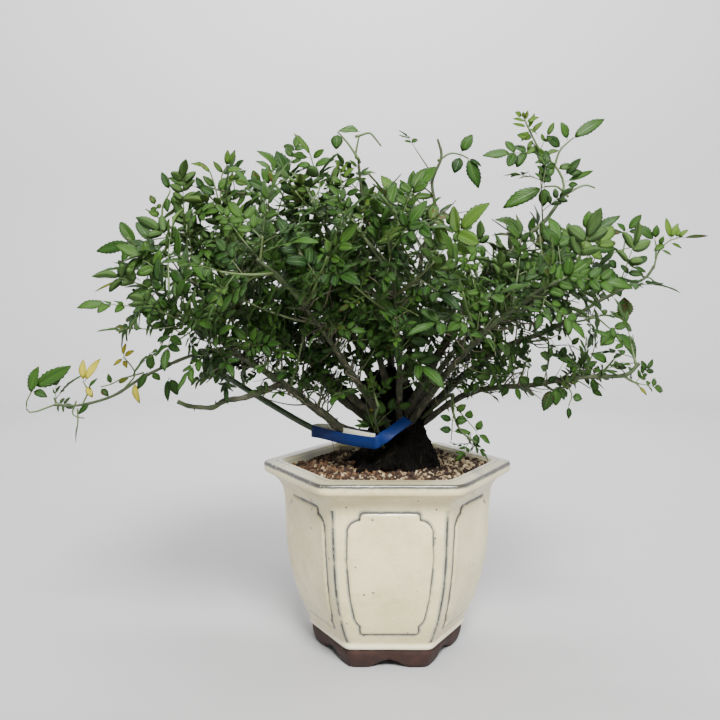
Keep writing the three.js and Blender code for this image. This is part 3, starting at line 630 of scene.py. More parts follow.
def glaze_colour(tree, where, height, clouds):
    """Cream, browner under the lip where a tan stain also paints the lip's shade, painted shade on its top
    and inside, then lines and specks of iron, and a painted highlight on the lower roll.
    """
    colour = blend(tree, clouds, (0.78, 0.69, 0.37), (0.6, 0.52, 0.26))
    fine = patches(tree, where, 260.0, 0.35, 0.7)
    # a tan stain under the lip that also paints the shade the lip casts on the neck
    neck = product(tree, between(tree, height, 0.129, 0.136), between(tree, height, 0.149, 0.144))
    # painted shade on the lip's top, where the crown above shades it
    lip_top_shade = product(tree, between(tree, height, LIP_EDGE - 0.0008, LIP_EDGE), 0.75)
    thin, rim = iron_lines(tree, where)
    layers = [
        (product(tree, fine, 0.35), (0.82, 0.75, 0.5)),
        # tan stain and painted shade under the lip
        (product(tree, neck, math_node(tree, "MULTIPLY_ADD", clouds, 0.4, 0.15)), (0.5, 0.4, 0.22)),
        (rim, (0.22, 0.25, 0.24)),
        # painted shade on the lip's top and on the inside wall
        (strongest(tree, [lip_top_shade, product(tree, stored(tree, "inner"), 0.9)]), (0.3, 0.28, 0.17)),
        (thin, (0.03, 0.028, 0.026)),
        (drawn_line(tree, stored(tree, "tick"), 0.0, 0.0015, 0.0), (0.04, 0.03, 0.02)),
        (product(tree, specks(tree, where, 150.0, 0.13, 0.16), 0.85), (0.06, 0.045, 0.03)),
        (product(tree, specks(tree, where, 420.0, 0.14, 0.08), 0.4), (0.22, 0.17, 0.11)),
        # whiter glaze on the lower roll, with a painted highlight along it
        (product(tree, between(tree, height, 0.0215, 0.0185), 0.5), (0.86, 0.83, 0.74)),
    ]
    for mask, over in layers:
        colour = blend(tree, mask, colour, over)
    return colour


def pot_material():
    """Glaze with a clear coat, over a bare clay foot whose edge wanders."""
    material, tree, shader = new_material("glaze", 0.3, Coat_Roughness=0.12)
    where = place(tree)
    height = add(tree, "ShaderNodeSeparateXYZ", {0: where}).outputs[2]
    clouds = patches(tree, where, 28.0, 0.3, 0.75)
    edge = math_node(tree, "MULTIPLY_ADD", cloud(tree, where, 60.0), 0.0018, FOOT_TOP - 0.0018)
    bare = math_node(tree, "LESS_THAN", height, edge)
    clay = blend(tree, patches(tree, where, 90.0, 0.3, 0.7), (0.017, 0.005, 0.003), (0.036, 0.011, 0.006))
    glazed = glaze_colour(tree, where, height, clouds)
    tree.links.new(blend(tree, bare, glazed, clay), shader["Base Color"])
    rough = math_node(tree, "ADD", product(tree, bare, 0.45), 0.27)
    tree.links.new(math_node(tree, "ADD", rough, product(tree, clouds, 0.12)), shader["Roughness"])
    coat = product(tree, math_node(tree, "SUBTRACT", 1.0, bare), 0.35)
    tree.links.new(coat, shader["Coat Weight"])
    tree.links.new(bump(tree, cloud(tree, where, 130.0, 3.0), 0.0005), shader["Normal"])
    return material


# %% Make the pot
piece("pot_body", [pot_part()], [pot_material()], ["pot"])

# %% [markdown]
# ## The drain net
# A coarse black net lies over the drain hole, under the soil. Its solid is already a finished
# shape, so it only gets a surface: moulded plastic with a fine grain.

# %% Drain net
def plastic_material(name, colour, rough, gloss=0.5):
    """Moulded plastic: one colour, dulled in patches, with a fine grain."""
    material, tree, shader = new_material(name, rough, Specular_IOR_Level=gloss)
    where = place(tree)
    dull = patches(tree, where, 180.0, 0.35, 0.7)
    worn = tuple(0.9 * c + 0.01 for c in colour)
    share = product(tree, dull, 0.3)
    tree.links.new(blend(tree, share, colour, worn), shader["Base Color"])
    tree.links.new(math_node(tree, "ADD", product(tree, dull, 0.2), rough), shader["Roughness"])
    grain = cloud(tree, where, 2500.0)
    tree.links.new(bump(tree, grain, 0.00006), shader["Normal"])
    return material


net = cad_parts["drain_net"]
net.data.materials.clear()
net.data.materials.append(plastic_material("net_plastic", (0.02, 0.02, 0.02), 0.5))

# %% [markdown]
# ## The soil
# Bonsai soil is grit: pale pumice, brown akadama and nearly black bark and lava. A bed fills the
# pot up to its neck, mounded towards the stump, and nearly seven thousand grains lie on it, most of
# them small. A small grain is an eight-sided ball and a larger one is that ball with each face
# split in four, both pushed in and out at their corners. A grain's kind and tone are stored on its
# points, so a single material paints them all.

# %% Soil bed and grains
SOIL_TOP = 148.5 * MM
MOUND = 1.5 * MM
SOIL_SLOPE = 0.02  # it rises a little to the right
SOIL_COLUMNS = 20
GRAINS = 6800
SMALL_GRAIN = 1.2 * MM  # smaller grains are plain eight-sided ones
BARK, AKADAMA, PUMICE = 0.0, 0.5, 1.0
STUMP_FOOT = np.array([(8, -6), (33, 28)]) * MM  # middle and half widths where it meets the soil
BED_RADIUS = 83.5 * MM


def soil_height(x, y):
    """The bed's height: a cone that falls to the wall, with soft lumps."""
    share = np.hypot(x, y) / (80 * MM)
    flat = np.stack([x, y, np.zeros_like(x)], axis=-1)
    return SOIL_TOP + MOUND * (1 - share) + SOIL_SLOPE * x + 1.3 * MM * layered(flat, 14 * MM, 3, 11)


def soil_part():
    """The bed: six-sided rings up the inside of the pot, then inwards over the top."""
    wall = np.array([(49.4, 16.6), (57.4, 22.3), (67.4, 45), (75.9, 86), (78.4, 128), (81.4, 138),
                     (84.6, 147)]) * MM
    angle, offset = six_sides(SOIL_COLUMNS)
    reach = six_sided_reach(offset)
    top = wall[-1, 0] * np.linspace(1, 0.02, 26)
    radius = np.concatenate([wall[:-1, 0], top])[:, None] * reach
    x, y = radius * np.cos(angle), radius * np.sin(angle)
    z = np.concatenate([np.repeat(wall[:-1, 1:], x.shape[1], axis=1), soil_height(x, y)[len(wall) - 1:]])
    return closed_rings(np.stack([x, y, z], axis=-1))


def eight_sided():
    """An eight-sided ball: 6 points and 8 triangles."""
    faces = []
    for x in (0, 3):
        for y in (1, 4):
            for z in (2, 5):
                odd = (x + y + z) % 2 == 1
                faces.append((x, y, z) if odd else (x, z, y))
    return np.vstack([np.eye(3), -np.eye(3)]), np.array(faces)


def pebble():
    """The same ball with each face split in four: 18 points and 32 triangles."""
    points, faces = eight_sided()
    points, split, middles = list(points), [], {}
    for a, b, c in faces:
        halves = []
        for pair in ((a, b), (b, c), (c, a)):
            key = tuple(sorted(pair))
            if key not in middles:
                middles[key] = len(points)
                points.append(unit(points[key[0]] + points[key[1]]))
            halves.append(middles[key])
        ab, bc, ca = halves
        split += [(a, ab, ca), (ab, b, bc), (ca, bc, c), (ab, bc, ca)]
    return np.array(points), np.array(split)


def turned(points, angles):
    """Blocks of points (n, m, 3) turned by three angles each: about Z, then X, then Z again."""
    for angle, (i, j) in zip(angles.T, ((0, 1), (1, 2), (0, 1))):
        c, s = np.cos(angle)[:, None], np.sin(angle)[:, None]
        a, b = points[..., i].copy(), points[..., j].copy()
        points[..., i] = c * a - s * b
        points[..., j] = s * a + c * b
    return points


def grains_parts():
    """Grains scattered over the bed, thinned out where the stump stands: small ones and pebbles."""
    n = np.arange(2 * GRAINS)
    x = 84 * MM * (2 * draw(n, 201) - 1)
    y = 74 * MM * (2 * draw(n, 202) - 1)
    angle = np.arctan2(y, x)
    offset = (angle % (2 * HALF_SIDE)) - HALF_SIDE
    inside = np.hypot(x, y) < BED_RADIUS * six_sided_reach(offset)
    from_stump = (np.stack([x, y], axis=1) - STUMP_FOOT[0]) / STUMP_FOOT[1]
    keep = np.flatnonzero(inside & (np.linalg.norm(from_stump, axis=1) > 0.85))[:GRAINS]
    n, x, y = n[keep], x[keep], y[keep]
    size = (0.7 + 1.9 * draw(n, 203) ** 3.0) * MM
    small = size < SMALL_GRAIN
    return [grain_blocks(eight_sided(), n[small], x[small], y[small], size[small]),
            grain_blocks(pebble(), n[~small], x[~small], y[~small], size[~small])]


def grain_blocks(shape, n, x, y, size):
    """Grains of one shape: each ball pushed in and out at its corners, stretched and turned."""
    ball, faces = shape
    kind = draw(n, 204)
    lean = 0.5 * x / (80 * MM)  # more pale grains to the right, more dark ones to the left
    kind = np.where(kind + lean * 0.45 > 0.75, PUMICE, np.where(kind - 0.35 * lean < 0.5, BARK, AKADAMA))
    push = 0.78 + 0.4 * draw(n[:, None], 210 + np.arange(len(ball)))
    stretch = np.stack([np.ones(len(n)), 0.65 + 0.35 * draw(n, 205), 0.5 + 0.4 * draw(n, 206)], axis=1)
    block = ball[None] * (push * size[:, None])[..., None] * stretch[:, None]
    block = turned(block, 2 * np.pi * np.stack([draw(n, 207), draw(n, 208), draw(n, 209)], axis=1))
    lift = size * (0.1 + 0.5 * draw(n, 228))
    block += np.stack([x, y, soil_height(x, y) + lift], axis=1)[:, None]
    shift = (len(ball) * np.arange(len(n)))[:, None, None]
    faces = (faces[None] + shift).reshape(-1, 3)
    kind, tone = (np.repeat(value, len(ball)) for value in (kind, draw(n, 229)))
    return part(block, [(faces, 0)], kind=kind, tone=tone)


def soil_material():
    """Grit: nearly black bark, brown akadama or pale pumice by kind, each a little different."""
    material, tree, shader = new_material("grit", 0.9)
    where = place(tree)
    tone = stored(tree, "tone")
    kind = stored(tree, "kind")
    bark = blend(tree, tone, (0.007, 0.0035, 0.002), (0.04, 0.015, 0.006))
    akadama = blend(tree, tone, (0.045, 0.018, 0.007), (0.2, 0.1, 0.04))
    pumice = blend(tree, tone, (0.17, 0.11, 0.05), (0.66, 0.54, 0.33))
    brown = blend(tree, math_node(tree, "GREATER_THAN", kind, 0.25), bark, akadama)
    grit = blend(tree, math_node(tree, "GREATER_THAN", kind, 0.75), brown, pumice)
    dirt = patches(tree, where, 700.0, 0.35, 0.65)
    grit = blend(tree, product(tree, dirt, 0.45), grit, (0.05, 0.03, 0.018))
    tree.links.new(grit, shader["Base Color"])
    pores = add(tree, "ShaderNodeTexVoronoi", {"Vector": where, "Scale": 2200.0}).outputs["Distance"]
    tree.links.new(bump(tree, pores, 0.0003), shader["Normal"])
    return material


# %% Make the soil
GRIT = soil_material()
piece("soil_bed", [soil_part()], [GRIT], ["soil"])
piece("soil_grains", grains_parts(), [GRIT], smooth=False)

# %% [markdown]
# ## The stump
# The old stump is a fluted cone that flares into roots. It is a stack of level rings: each ring
# swells in three broad flutes and five fine ones, and folded noise that is stretched along its
# height cuts bark furrows into it. Two knobbly balls of old wood are made the same way. Roots and
# the loose fibres that hang down the bark are tubes.

# %% Stump, burl and roots
# Height, middle, half widths along X and Y, and the depth of the flutes, in millimetres.
STUMP = np.array([
    (118, 10, -6, 31, 26, 0.1), (134, 9, -6, 33, 28, 0.15), (146, 8, -6, 32, 27, 0.17),
    (157, 7.5, -5, 29, 25, 0.17), (169, 8, -3, 24.5, 22, 0.15), (181, 8.5, 0, 19.5, 19, 0.13),
    (192, 8, 3, 17, 17.5, 0.1), (201, 6, 6, 13, 13, 0.08), (206, 6, 6, 6, 6, 0.05),
])
ROOTS = [
    ([(20, -4, 172), (32, -9, 158), (39, -13, 142), (46, -17, 112)], (9, 5)),
    ([(-2, -12, 164), (-18, -23, 149), (-32, -31, 132), (-42, -36, 112)], (9, 3.5)),
    ([(13, -16, 162), (19, -33, 146), (22, -45, 130), (24, -52, 114)], (8, 3.5)),
    ([(-6, 8, 164), (-26, 20, 148), (-40, 29, 130), (-47, 34, 112)], (8, 3.5)),
    ([(20, 12, 164), (33, 26, 146), (42, 38, 130), (47, 44, 112)], (8, 3.5)),
]
LUMPS = [((1, 7, 205), (22, 15, 22)), ((30.5, -2, 193), (7, 7, 10))]
STRANDS = 110
PALE_ROOT = [(23, -17, 172), (26, -22, 164), (28, -26, 155), (31, -30, 147), (36, -34, 140)]
FLATTEN = np.array([1.0, 1.0, 0.3])  # squeezes height in the furrows' noise, so that they run up


def furrows(points, size, seed):
    """Folded noise: 1 - 2 |noise|, high along narrow ridges and low between them."""
    return 1 - 2 * np.abs(layered(points * FLATTEN, size, 3, seed))


def stump_swell(z, turn, flute):
    """How far the stump swells at a turn: 1 + flute (sin 3t + sin 5t / 2), both drifting with height."""
    return 1 + flute * (np.sin(3 * turn + 1 + z * 0.012) + 0.5 * np.sin(5 * turn + 2.3 - z * 0.02))


def stump_part():
    """Fluted rings up the stump, furrowed like old bark."""
    z, cx, cy, rx, ry, flute = path_point(STUMP, np.linspace(0, 1, 130)).T[..., None]
    turn = np.linspace(0, 2 * np.pi, 160, endpoint=False)
    swell = stump_swell(z, turn, flute)
    rings = np.stack([cx + rx * swell * np.cos(turn), cy + ry * swell * np.sin(turn),
                      z + 0 * turn], axis=-1) * MM
    out = np.stack([np.cos(turn), np.sin(turn), 0 * turn], axis=-1)
    cut = 2.4 * MM * furrows(rings, 8 * MM, 21) + 1.3 * MM * furrows(rings, 3 * MM, 31)
    cut += 2.2 * MM * layered(rings, 6 * MM, 3, 36)
    made = closed_rings(rings + cut[..., None] * out)
    made["values"]["straight"] = made["points"]
    return made


def lump_part(middle, half, seed):
    """A ball of rings from pole to pole, stretched, with knobs of noise pushed out of it."""
    down = np.linspace(0.04, np.pi - 0.04, 46)[::-1, None]
    turn = np.linspace(0, 2 * np.pi, 64, endpoint=False)
    way = np.stack([np.sin(down) * np.cos(turn), np.sin(down) * np.sin(turn),
                    np.cos(down) + 0 * turn], axis=-1)
    middle, half = np.array(middle) * MM, np.array(half) * MM
    rings = middle + way * half
    knobs = 1 + 0.24 * layered(rings, 12 * MM, 3, seed) + 0.13 * layered(rings, 2.6 * MM, 2, seed + 5)
    made = closed_rings(middle + (rings - middle) * knobs[..., None])
    made["values"]["straight"] = made["points"]
    return made


def strands_part():
    """Fibres of old bark that hang down the stump: each follows its surface at a turn that wanders
    as a sine, from high on the stump towards the soil."""
    n = np.arange(STRANDS)[:, None]
    t = np.linspace(0, 1, 24)
    high, low = 0.45 + 0.42 * draw(n, 251), 0.12 + 0.3 * draw(n, 252)
    share = high + (low - high) * t
    z, cx, cy, rx, ry, flute = np.moveaxis(path_point(STUMP, share), -1, 0)
    turn = 2 * np.pi * draw(n, 253) + 0.5 * (draw(n, 255) - 0.5) * t
    turn = turn + 0.22 * np.sin(4 * t + 6 * draw(n, 254))
    swell = stump_swell(z, turn, flute)
    off = 1.2 * np.sin(9 * t + n)
    x, y = cx + (rx * swell + off) * np.cos(turn), cy + (ry * swell + off) * np.sin(turn)
    radii = (0.35 + 1.2 * draw(n, 256) ** 2) * MM * np.sin(np.pi * (0.08 + 0.84 * t)) ** 0.4
    return tubes(np.stack([x, y, z], axis=-1) * MM, radii, 5, rough=0.25, pale=0.4 * draw(n[:, 0], 257) ** 4)


def root_paths():
    """The roots' lines and radii, thinning to their tips."""
    share = np.linspace(0, 1, 44)
    paths = np.stack([along_path(np.array(points) * MM, share)[0] for points, _ in ROOTS])
    ends = np.array([radii for _, radii in ROOTS]) * MM
    return paths, ends[:, :1] + (ends[:, 1:] - ends[:, :1]) * share**0.8


def times(colour, factor):
    """A colour made lighter or darker, kept within one."""
    return tuple(min(1, factor * c) for c in colour)


def bark_material(name, dark, light, green, depth, rough=0.85, moss=0.45, gloss=0.5):
    """Bark: furrows that run along the wood, darker in their depths as painted shade, with patches of green
    film.
    The value youth, where a piece stores it, turns old bark into smooth young skin."""
    material, tree, shader = new_material(name, rough, Specular_IOR_Level=gloss)
    along = stored(tree, "straight", "Vector")
    youth = stored(tree, "youth")
    pale_wood = stored(tree, "pale")
    fold = streaks(tree, along, 330.0, 3.5)
    film = patches(tree, along, 70.0, 0.42, 0.68)
    pale = patches(tree, along, 160.0, 0.5, 0.72)
    # painted shade: the bark is darkest where its furrows run deepest
    wood = blend(tree, fold, dark, light)
    wood = blend(tree, product(tree, pale, 0.4), wood, times(light, 1.8))
    wood = blend(tree, pale_wood, wood, times(light, 4.0))
    share = math_node(tree, "ADD", product(tree, film, moss),
                      product(tree, youth, 0.8), clamp=True)
    # the same painted shade in the furrows of the green skin
    skin = blend(tree, fold, times(green, 0.62), green)
    tree.links.new(blend(tree, share, wood, skin), shader["Base Color"])
    rest = math_node(tree, "SUBTRACT", 1.0, product(tree, youth, 0.75))
    height = product(tree, fold, rest)
    tree.links.new(bump(tree, height, depth), shader["Normal"])
    return material


# %% Make the stump
OLD_BARK = bark_material("old_bark", (0.0006, 0.0005, 0.0004), (0.009, 0.007, 0.005),
                         (0.008, 0.01, 0.004), 0.0015, moss=0.15, gloss=0.12)
root_lines, root_radii = root_paths()
stump_parts = [stump_part(), tubes(root_lines, root_radii, 22, rough=0.16)]
stump_parts += [lump_part(middle, half, 41 + n) for n, (middle, half) in enumerate(LUMPS)]
pale_line = along_path(np.array(PALE_ROOT) * MM, np.linspace(0, 1, 40))[0]
stump_parts.append(tubes(pale_line[None], np.linspace(0.5, 1.0, 40)[None] * MM, 7, rough=0.2, pale=1.0))
stump_parts.append(strands_part())
piece("stump", stump_parts, [OLD_BARK], ["trunk"])

# %% [markdown]
# ## The canes
# Some twenty canes leave the stump and arch outwards. Each row gives a cane's points from the
# stump out, its radius at both ends, where its side shoots start, how far apart they stand, how
# long they grow, how much of the crown's room they may fill, and how large their leaves are. What
# most canes share is left out of the rows. A tube follows each line, with a swelling at every node
# where a shoot leaves, and its skin grows greener towards its tip.

# %% Canes
def cane(points, radii=(3.6, 1.0), start=75, every=18, reach=42, room=1.0, leaf=1.0):
    """One cane's row, with its lengths turned from millimetres to metres."""
    return {"points": np.array(points) * MM, "radii": np.array(radii) * MM, "start": start * MM,
            "every": every * MM, "reach": reach * MM, "room": room, "leaf": leaf}


CANES = [
    cane([(10, -8, 184), (28, -14, 219), (50, -8, 258), (67, 0, 286), (83, 3, 308), (109, 5, 334),
          (128, 5, 350), (143, 6, 371)], radii=(4.2, 1.3), start=95, every=19, reach=30, room=1.1),
    cane([(22, 2, 184), (62, 8, 222), (98, 15, 246), (140, 20, 262), (178, 24, 284), (206, 28, 298),
          (220, 30, 305), (227, 30, 315)], radii=(3.8, 1.1), start=60, reach=34, room=1.2),
    cane([(22, -2, 180), (60, -20, 210), (86, -34, 218), (107, -48, 221), (128, -56, 226),
          (150, -60, 229), (175, -60, 230), (186, -60, 239)],
         radii=(2.8, 1.5), start=58, every=20, reach=16, room=9, leaf=0.7),
    cane([(-6, -10, 174), (-36, -15, 182), (-49, -25, 194), (-63, -37, 206), (-81, -53, 223),
          (-110, -62, 244), (-140, -66, 266), (-172, -66, 284)], radii=(4.4, 1.1), start=78, reach=40),
    cane([(-110, -62, 244), (-131, -60, 249), (-150, -54, 244), (-170, -50, 236), (-190, -50, 226),
          (-211, -50, 213), (-236, -50, 206), (-256, -50, 206)],
         radii=(1.5, 1.0), start=55, every=25, reach=8, room=9, leaf=0.55),
    cane([(-8, -2, 184), (-41, 0, 208), (-56, 10, 224), (-75, 15, 252), (-100, 20, 286),
          (-135, 14, 318), (-161, 5, 332), (-178, 0, 346)], radii=(4.4, 1.1), start=82, reach=46),
    cane([(2, 8, 192), (3, 20, 252), (-2, 20, 294), (-14, 8, 336), (-21, -8, 370), (-24, -17, 397)],
         radii=(3.6, 0.9), every=19, reach=44),
    cane([(-82, -55, 223), (-94, -58, 218), (-109, -60, 213), (-123, -61, 211), (-132, -62, 206),
          (-141, -62, 206), (-151, -61, 207), (-159, -60, 210)],
         radii=(2.4, 1.6), start=28, every=9, reach=30),
    cane([(5, -8, 176), (-26, -46, 226), (-52, -76, 268), (-76, -102, 300), (-92, -112, 314)],
         radii=(3.4, 1.0)),
    cane([(14, -8, 180), (44, -46, 230), (70, -76, 264), (98, -100, 290), (114, -112, 300)],
         radii=(3.4, 1.0)),
    cane([(9, -7, 180), (8, -40, 235), (4, -70, 282), (0, -92, 312), (-2, -106, 328)], radii=(3.2, 1.0)),
    cane([(-2, 10, 186), (-44, 48, 238), (-84, 82, 280), (-116, 102, 306), (-134, 110, 318)],
         every=19, reach=46),
    cane([(6, 12, 190), (5, 54, 254), (10, 84, 300), (14, 104, 328), (14, 112, 342)],
         radii=(3.4, 1.0), every=19, reach=44),
    cane([(14, 8, 186), (54, 44, 234), (90, 72, 268), (122, 94, 290), (142, 102, 300)],
         every=19, reach=46),
    cane([(0, 4, 188), (-30, 14, 260), (-60, 18, 318), (-94, 12, 358), (-116, 5, 374)],
         start=78, reach=44),
    cane([(0, -2, 180), (-58, -20, 234), (-108, -30, 272), (-156, -32, 302), (-186, -26, 318)],
         reach=44),
    cane([(14, 0, 186), (60, -26, 244), (98, -42, 280), (132, -46, 304), (154, -42, 316)],
         radii=(3.4, 1.0), start=70),
    cane([(6, 2, 192), (-14, -22, 262), (-38, -34, 320), (-58, -34, 360), (-66, -28, 378)],
         radii=(3.2, 1.0), every=19),
    cane([(10, 5, 194), (20, -4, 260), (26, -14, 318), (36, -20, 354), (34, -20, 378), (41, -20, 397),
          (38, -20, 411)], radii=(3.2, 0.9), every=20, reach=36),
    cane([(22, -2, 184), (48, -34, 212), (47, -54, 206), (52, -64, 190), (64, -68, 180)],
         radii=(1.6, 0.8), start=46, every=14, reach=8, room=9, leaf=0.42),
    cane([(4, -8, 150), (-3, -22, 166), (-9, -36, 186), (-11, -47, 196), (-8, -54, 206)],
         radii=(1.6, 0.9), start=24, every=11, reach=8, room=9, leaf=0.4),
]
CANE_STEPS = 110
CANE_SIDES = 10
YOUNG_RADIUS = 2 * MM  # a cane with a thinner foot is young: green, and without thorns
SPARE_CANES = (4, 7, 19)  # the trailing, the old low and the drooping one grow few shoots
FULL_CANES = [c for c in range(19) if c not in (4, 7)]  # they carry sprays and twigs too
lengths = [along_path(row["points"], [1.0])[2] for row in CANES]


def cane_radius(c, share):
    """A cane's radius at a share of its length: it thins a little faster near the stump."""
    thick, thin = CANES[c]["radii"]
    return thick + (thin - thick) * share**0.8


def canes_part():
    """All canes as tubes, swollen at their nodes, and younger towards their tips."""
    share = np.linspace(0, 1, CANE_STEPS)
    lines = np.stack([along_path(row["points"], share)[0] for row in CANES])
    radii = np.stack([cane_radius(c, share) for c in range(len(CANES))])
    run = share * np.array(lengths)[:, None]
    every = np.array([row["every"] for row in CANES])[:, None]
    start = np.array([row["start"] for row in CANES])[:, None]
    to_node = (fraction((run - start) / every + 0.5) - 0.5) * every
    radii = radii * (1 + 0.16 * np.exp(-((to_node / (2.2 * MM)) ** 2)))
    made = tubes(lines, radii, CANE_SIDES, rough=0.13)
    young = np.array([0.9 if row["radii"][0] < YOUNG_RADIUS else 0.0 for row in CANES])
    share_along = made["values"]["share"].reshape(len(CANES), -1)
    youth = np.maximum(young[:, None], 1.15 * share_along**1.2 - 0.1)
    made["values"]["youth"] = np.clip(youth, 0, 1).ravel()
    return made


# %% [markdown]
# ## Thorns and dead twigs
# Rose thorns are short hooks that stand all round the cane and bend back towards its foot. Deep in
# the crown, where no light comes, last year's side shoots are left as bare grey-brown twigs. Both
# are tubes again: a thorn is five rings long, and a twig starts out one way and turns to another.

# %% Thorns and twigs
THORN_GAP = 8.5 * MM
THORN_LENGTH = 3.4 * MM
TWIGS = 560
LOWEST = 206 * MM  # no twig or spray ends lower
TWIG_CANES = FULL_CANES + [3, 5, 15, 8, 3, 15]  # more of them on the left
TWIG_REACH = 22 * MM
HEART = np.array([(2, -22, 196), (40, 52, 36)]) * MM  # the clear room round the stump's head


def in_heart(point):
    """Whether a point lies in the ball of clear room: |offset / half sizes| is under 1."""
    return np.linalg.norm((point - HEART[0]) / HEART[1]) < 1


def across(direction):
    """Two directions square to a tangent: the first leans up as far as it can."""
    guide = SIDEWAYS if abs(direction[2]) > 0.97 else UP
    first = square_to(guide, direction)
    return first, np.cross(direction, first)


def thorns_part():
    """Hooked thorns round each old cane: out from the skin, then back by the square of the way."""
    paths, radii = [], []
    t = np.linspace(0, 1, 5)[:, None]
    for c, row in enumerate(CANES):
        if row["radii"][0] < YOUNG_RADIUS:
            continue
        for k in range(2, int(0.95 * lengths[c] / THORN_GAP)):
            share = k * THORN_GAP / lengths[c] + 0.02 * (draw(c, 300 + k) - 0.5)
            point, along, _ = along_path(row["points"], share)
            first, second = across(along)
            turn = 1.9 * k + c
            out = first * math.cos(turn) + second * math.sin(turn)
            skin = cane_radius(c, share)
            long = THORN_LENGTH * (0.55 + 0.6 * draw(k, 320 + c)) * (1 - 0.35 * share)
            hook = out * (0.6 * skin + (long + 0.4 * skin) * t) - along * (0.45 * long) * t**2
            paths.append(point + hook)
            radii.append(0.42 * long * (1 - t[:, 0]) ** 1.3 + 0.04 * MM)
    return tubes(np.array(paths), np.array(radii), 5, youth=0.35)


def twigs_part():
    """Bare twigs off the canes: each turns from its first direction to a second one."""
    t = np.linspace(0, 1, 9)[:, None]
    paths, radii = [], []
    for n in range(TWIGS):
        c = TWIG_CANES[int(draw(n, 401) * len(TWIG_CANES))]
        share = 0.25 + 0.5 * draw(n, 402)
        point, along, _ = along_path(CANES[c]["points"], share)
        first, second = across(along)
        turn = 2 * math.pi * draw(n, 403)
        out = unit(0.5 * along + first * math.cos(turn) + second * math.sin(turn))
        later = unit(np.array([draw(n, 404), draw(n, 405), draw(n, 406)]) - 0.45)
        long = TWIG_REACH * (0.3 + 0.9 * draw(n, 407))
        wobble = 1.2 * MM * np.sin(9 * t + n) * second
        path = point + long * (out * t + 0.7 * later * t**2) + wobble
        if path[-1, 2] < LOWEST or in_heart(path[-1]):
            continue
        paths.append(path)
        radii.append(MM * (0.8 - 0.45 * t[:, 0]) * (0.55 + 0.6 * draw(n, 408)))
    return tubes(np.array(paths), np.array(radii), 4, rough=0.2, pale=0.3 * draw(np.arange(len(paths)), 409))


# %% Make the canes
CANE_BARK = bark_material("cane_bark", (0.012, 0.01, 0.006), (0.12, 0.105, 0.065),
                          (0.045, 0.075, 0.02), 0.001, 0.75, moss=0.6)
piece("canes", [canes_part()], [CANE_BARK])
piece("thorns_and_twigs", [thorns_part(), twigs_part()], [CANE_BARK])

# %% [markdown]
# ## The cut green cane
# One young cane leaves the stump low on the left and is cut short. Its skin is smooth and dark
# green, with pale pores, and its cut end is flat. It is a plain tube, so only the radius
# changes along it, and the last two rings lie close together to keep the cut's edge sharp.

# %% Green cane
GREEN_CANE = np.array([(-2, 4, 166), (-30, 1, 170), (-61, 0, 180), (-106, 6, 205), (-150, 12, 232)]) * MM


def green_cane_part():
    """The cut cane: an even tube whose end is drawn in flat."""
    share = np.concatenate([np.linspace(0, 0.995, 60), [1.0]])
    line = along_path(GREEN_CANE, share)[0]
    nodes = 1 + 0.1 * np.exp(-(((fraction(share * 7) - 0.5) / 0.04) ** 2))
    radii = (2.7 - 0.3 * share) * MM * nodes
    return tubes(line[None], radii[None], 20, rough=0.02)


def green_bark_material():
    """Smooth young bark: dark green, browner in patches, with pale pores."""
    material, tree, shader = new_material("young_bark", 0.42)
    along = stored(tree, "straight", "Vector")
    brown = patches(tree, along, 45.0, 0.45, 0.75)
    pores = specks(tree, along, 420.0, 0.22, 0.3)
    fine = streaks(tree, along, 500.0, 8.0)
    skin = blend(tree, fine, (0.008, 0.028, 0.004), (0.016, 0.048, 0.007))
    skin = blend(tree, product(tree, brown, 0.5), skin, (0.03, 0.026, 0.009))
    skin = blend(tree, product(tree, pores, 0.35), skin, (0.12, 0.13, 0.06))
    tree.links.new(skin, shader["Base Color"])
    tree.links.new(bump(tree, fine, 0.0002), shader["Normal"])
    return material


piece("green_cane_skin", [green_cane_part()], [green_bark_material()], ["green_cane"])

# %% [markdown]
# ## The plant tag
# The tag is one strip of thin plastic, blue in front and cream behind, that is hooked round the
# green cane and creased in front of the stump. A rectangle with soft edges is carried along its
# line, upright but for the free end, which leans back. It stays bare: its two colours are two
# materials on one mesh.

# %% Plant tag
TAG_LINE = np.array([
    (15.6, -30, 191.8), (4, -38, 184.8), (-7.5, -45.5, 178.3), (-10.8, -46, 176.6), (-15, -42.5, 176.2),
    (-24, -34.5, 175.9), (-36.8, -24, 175.8), (-50, -10.5, 176.8), (-56, -5, 177.4), (-60, -3.2, 177.8),
    (-62.3, -1, 178), (-62, 1.6, 178.2), (-58, 3.4, 178.9), (-51, -1, 179.3), (-43, -10, 179.2),
    (-36, -18, 179.1), (-25, -28.5, 179), (-15, -37.5, 178.8), (-10.5, -42, 178.8),
]) * MM
TAG_HALF_WIDTH = 4.6 * MM
TAG_HALF_THICK = 0.35 * MM
TAG_LEAN = 0.95  # how far its free end leans back, in radians
TAG_LEAN_SHARE = 0.17  # the share of its length that leans, fully so over the first two thirds


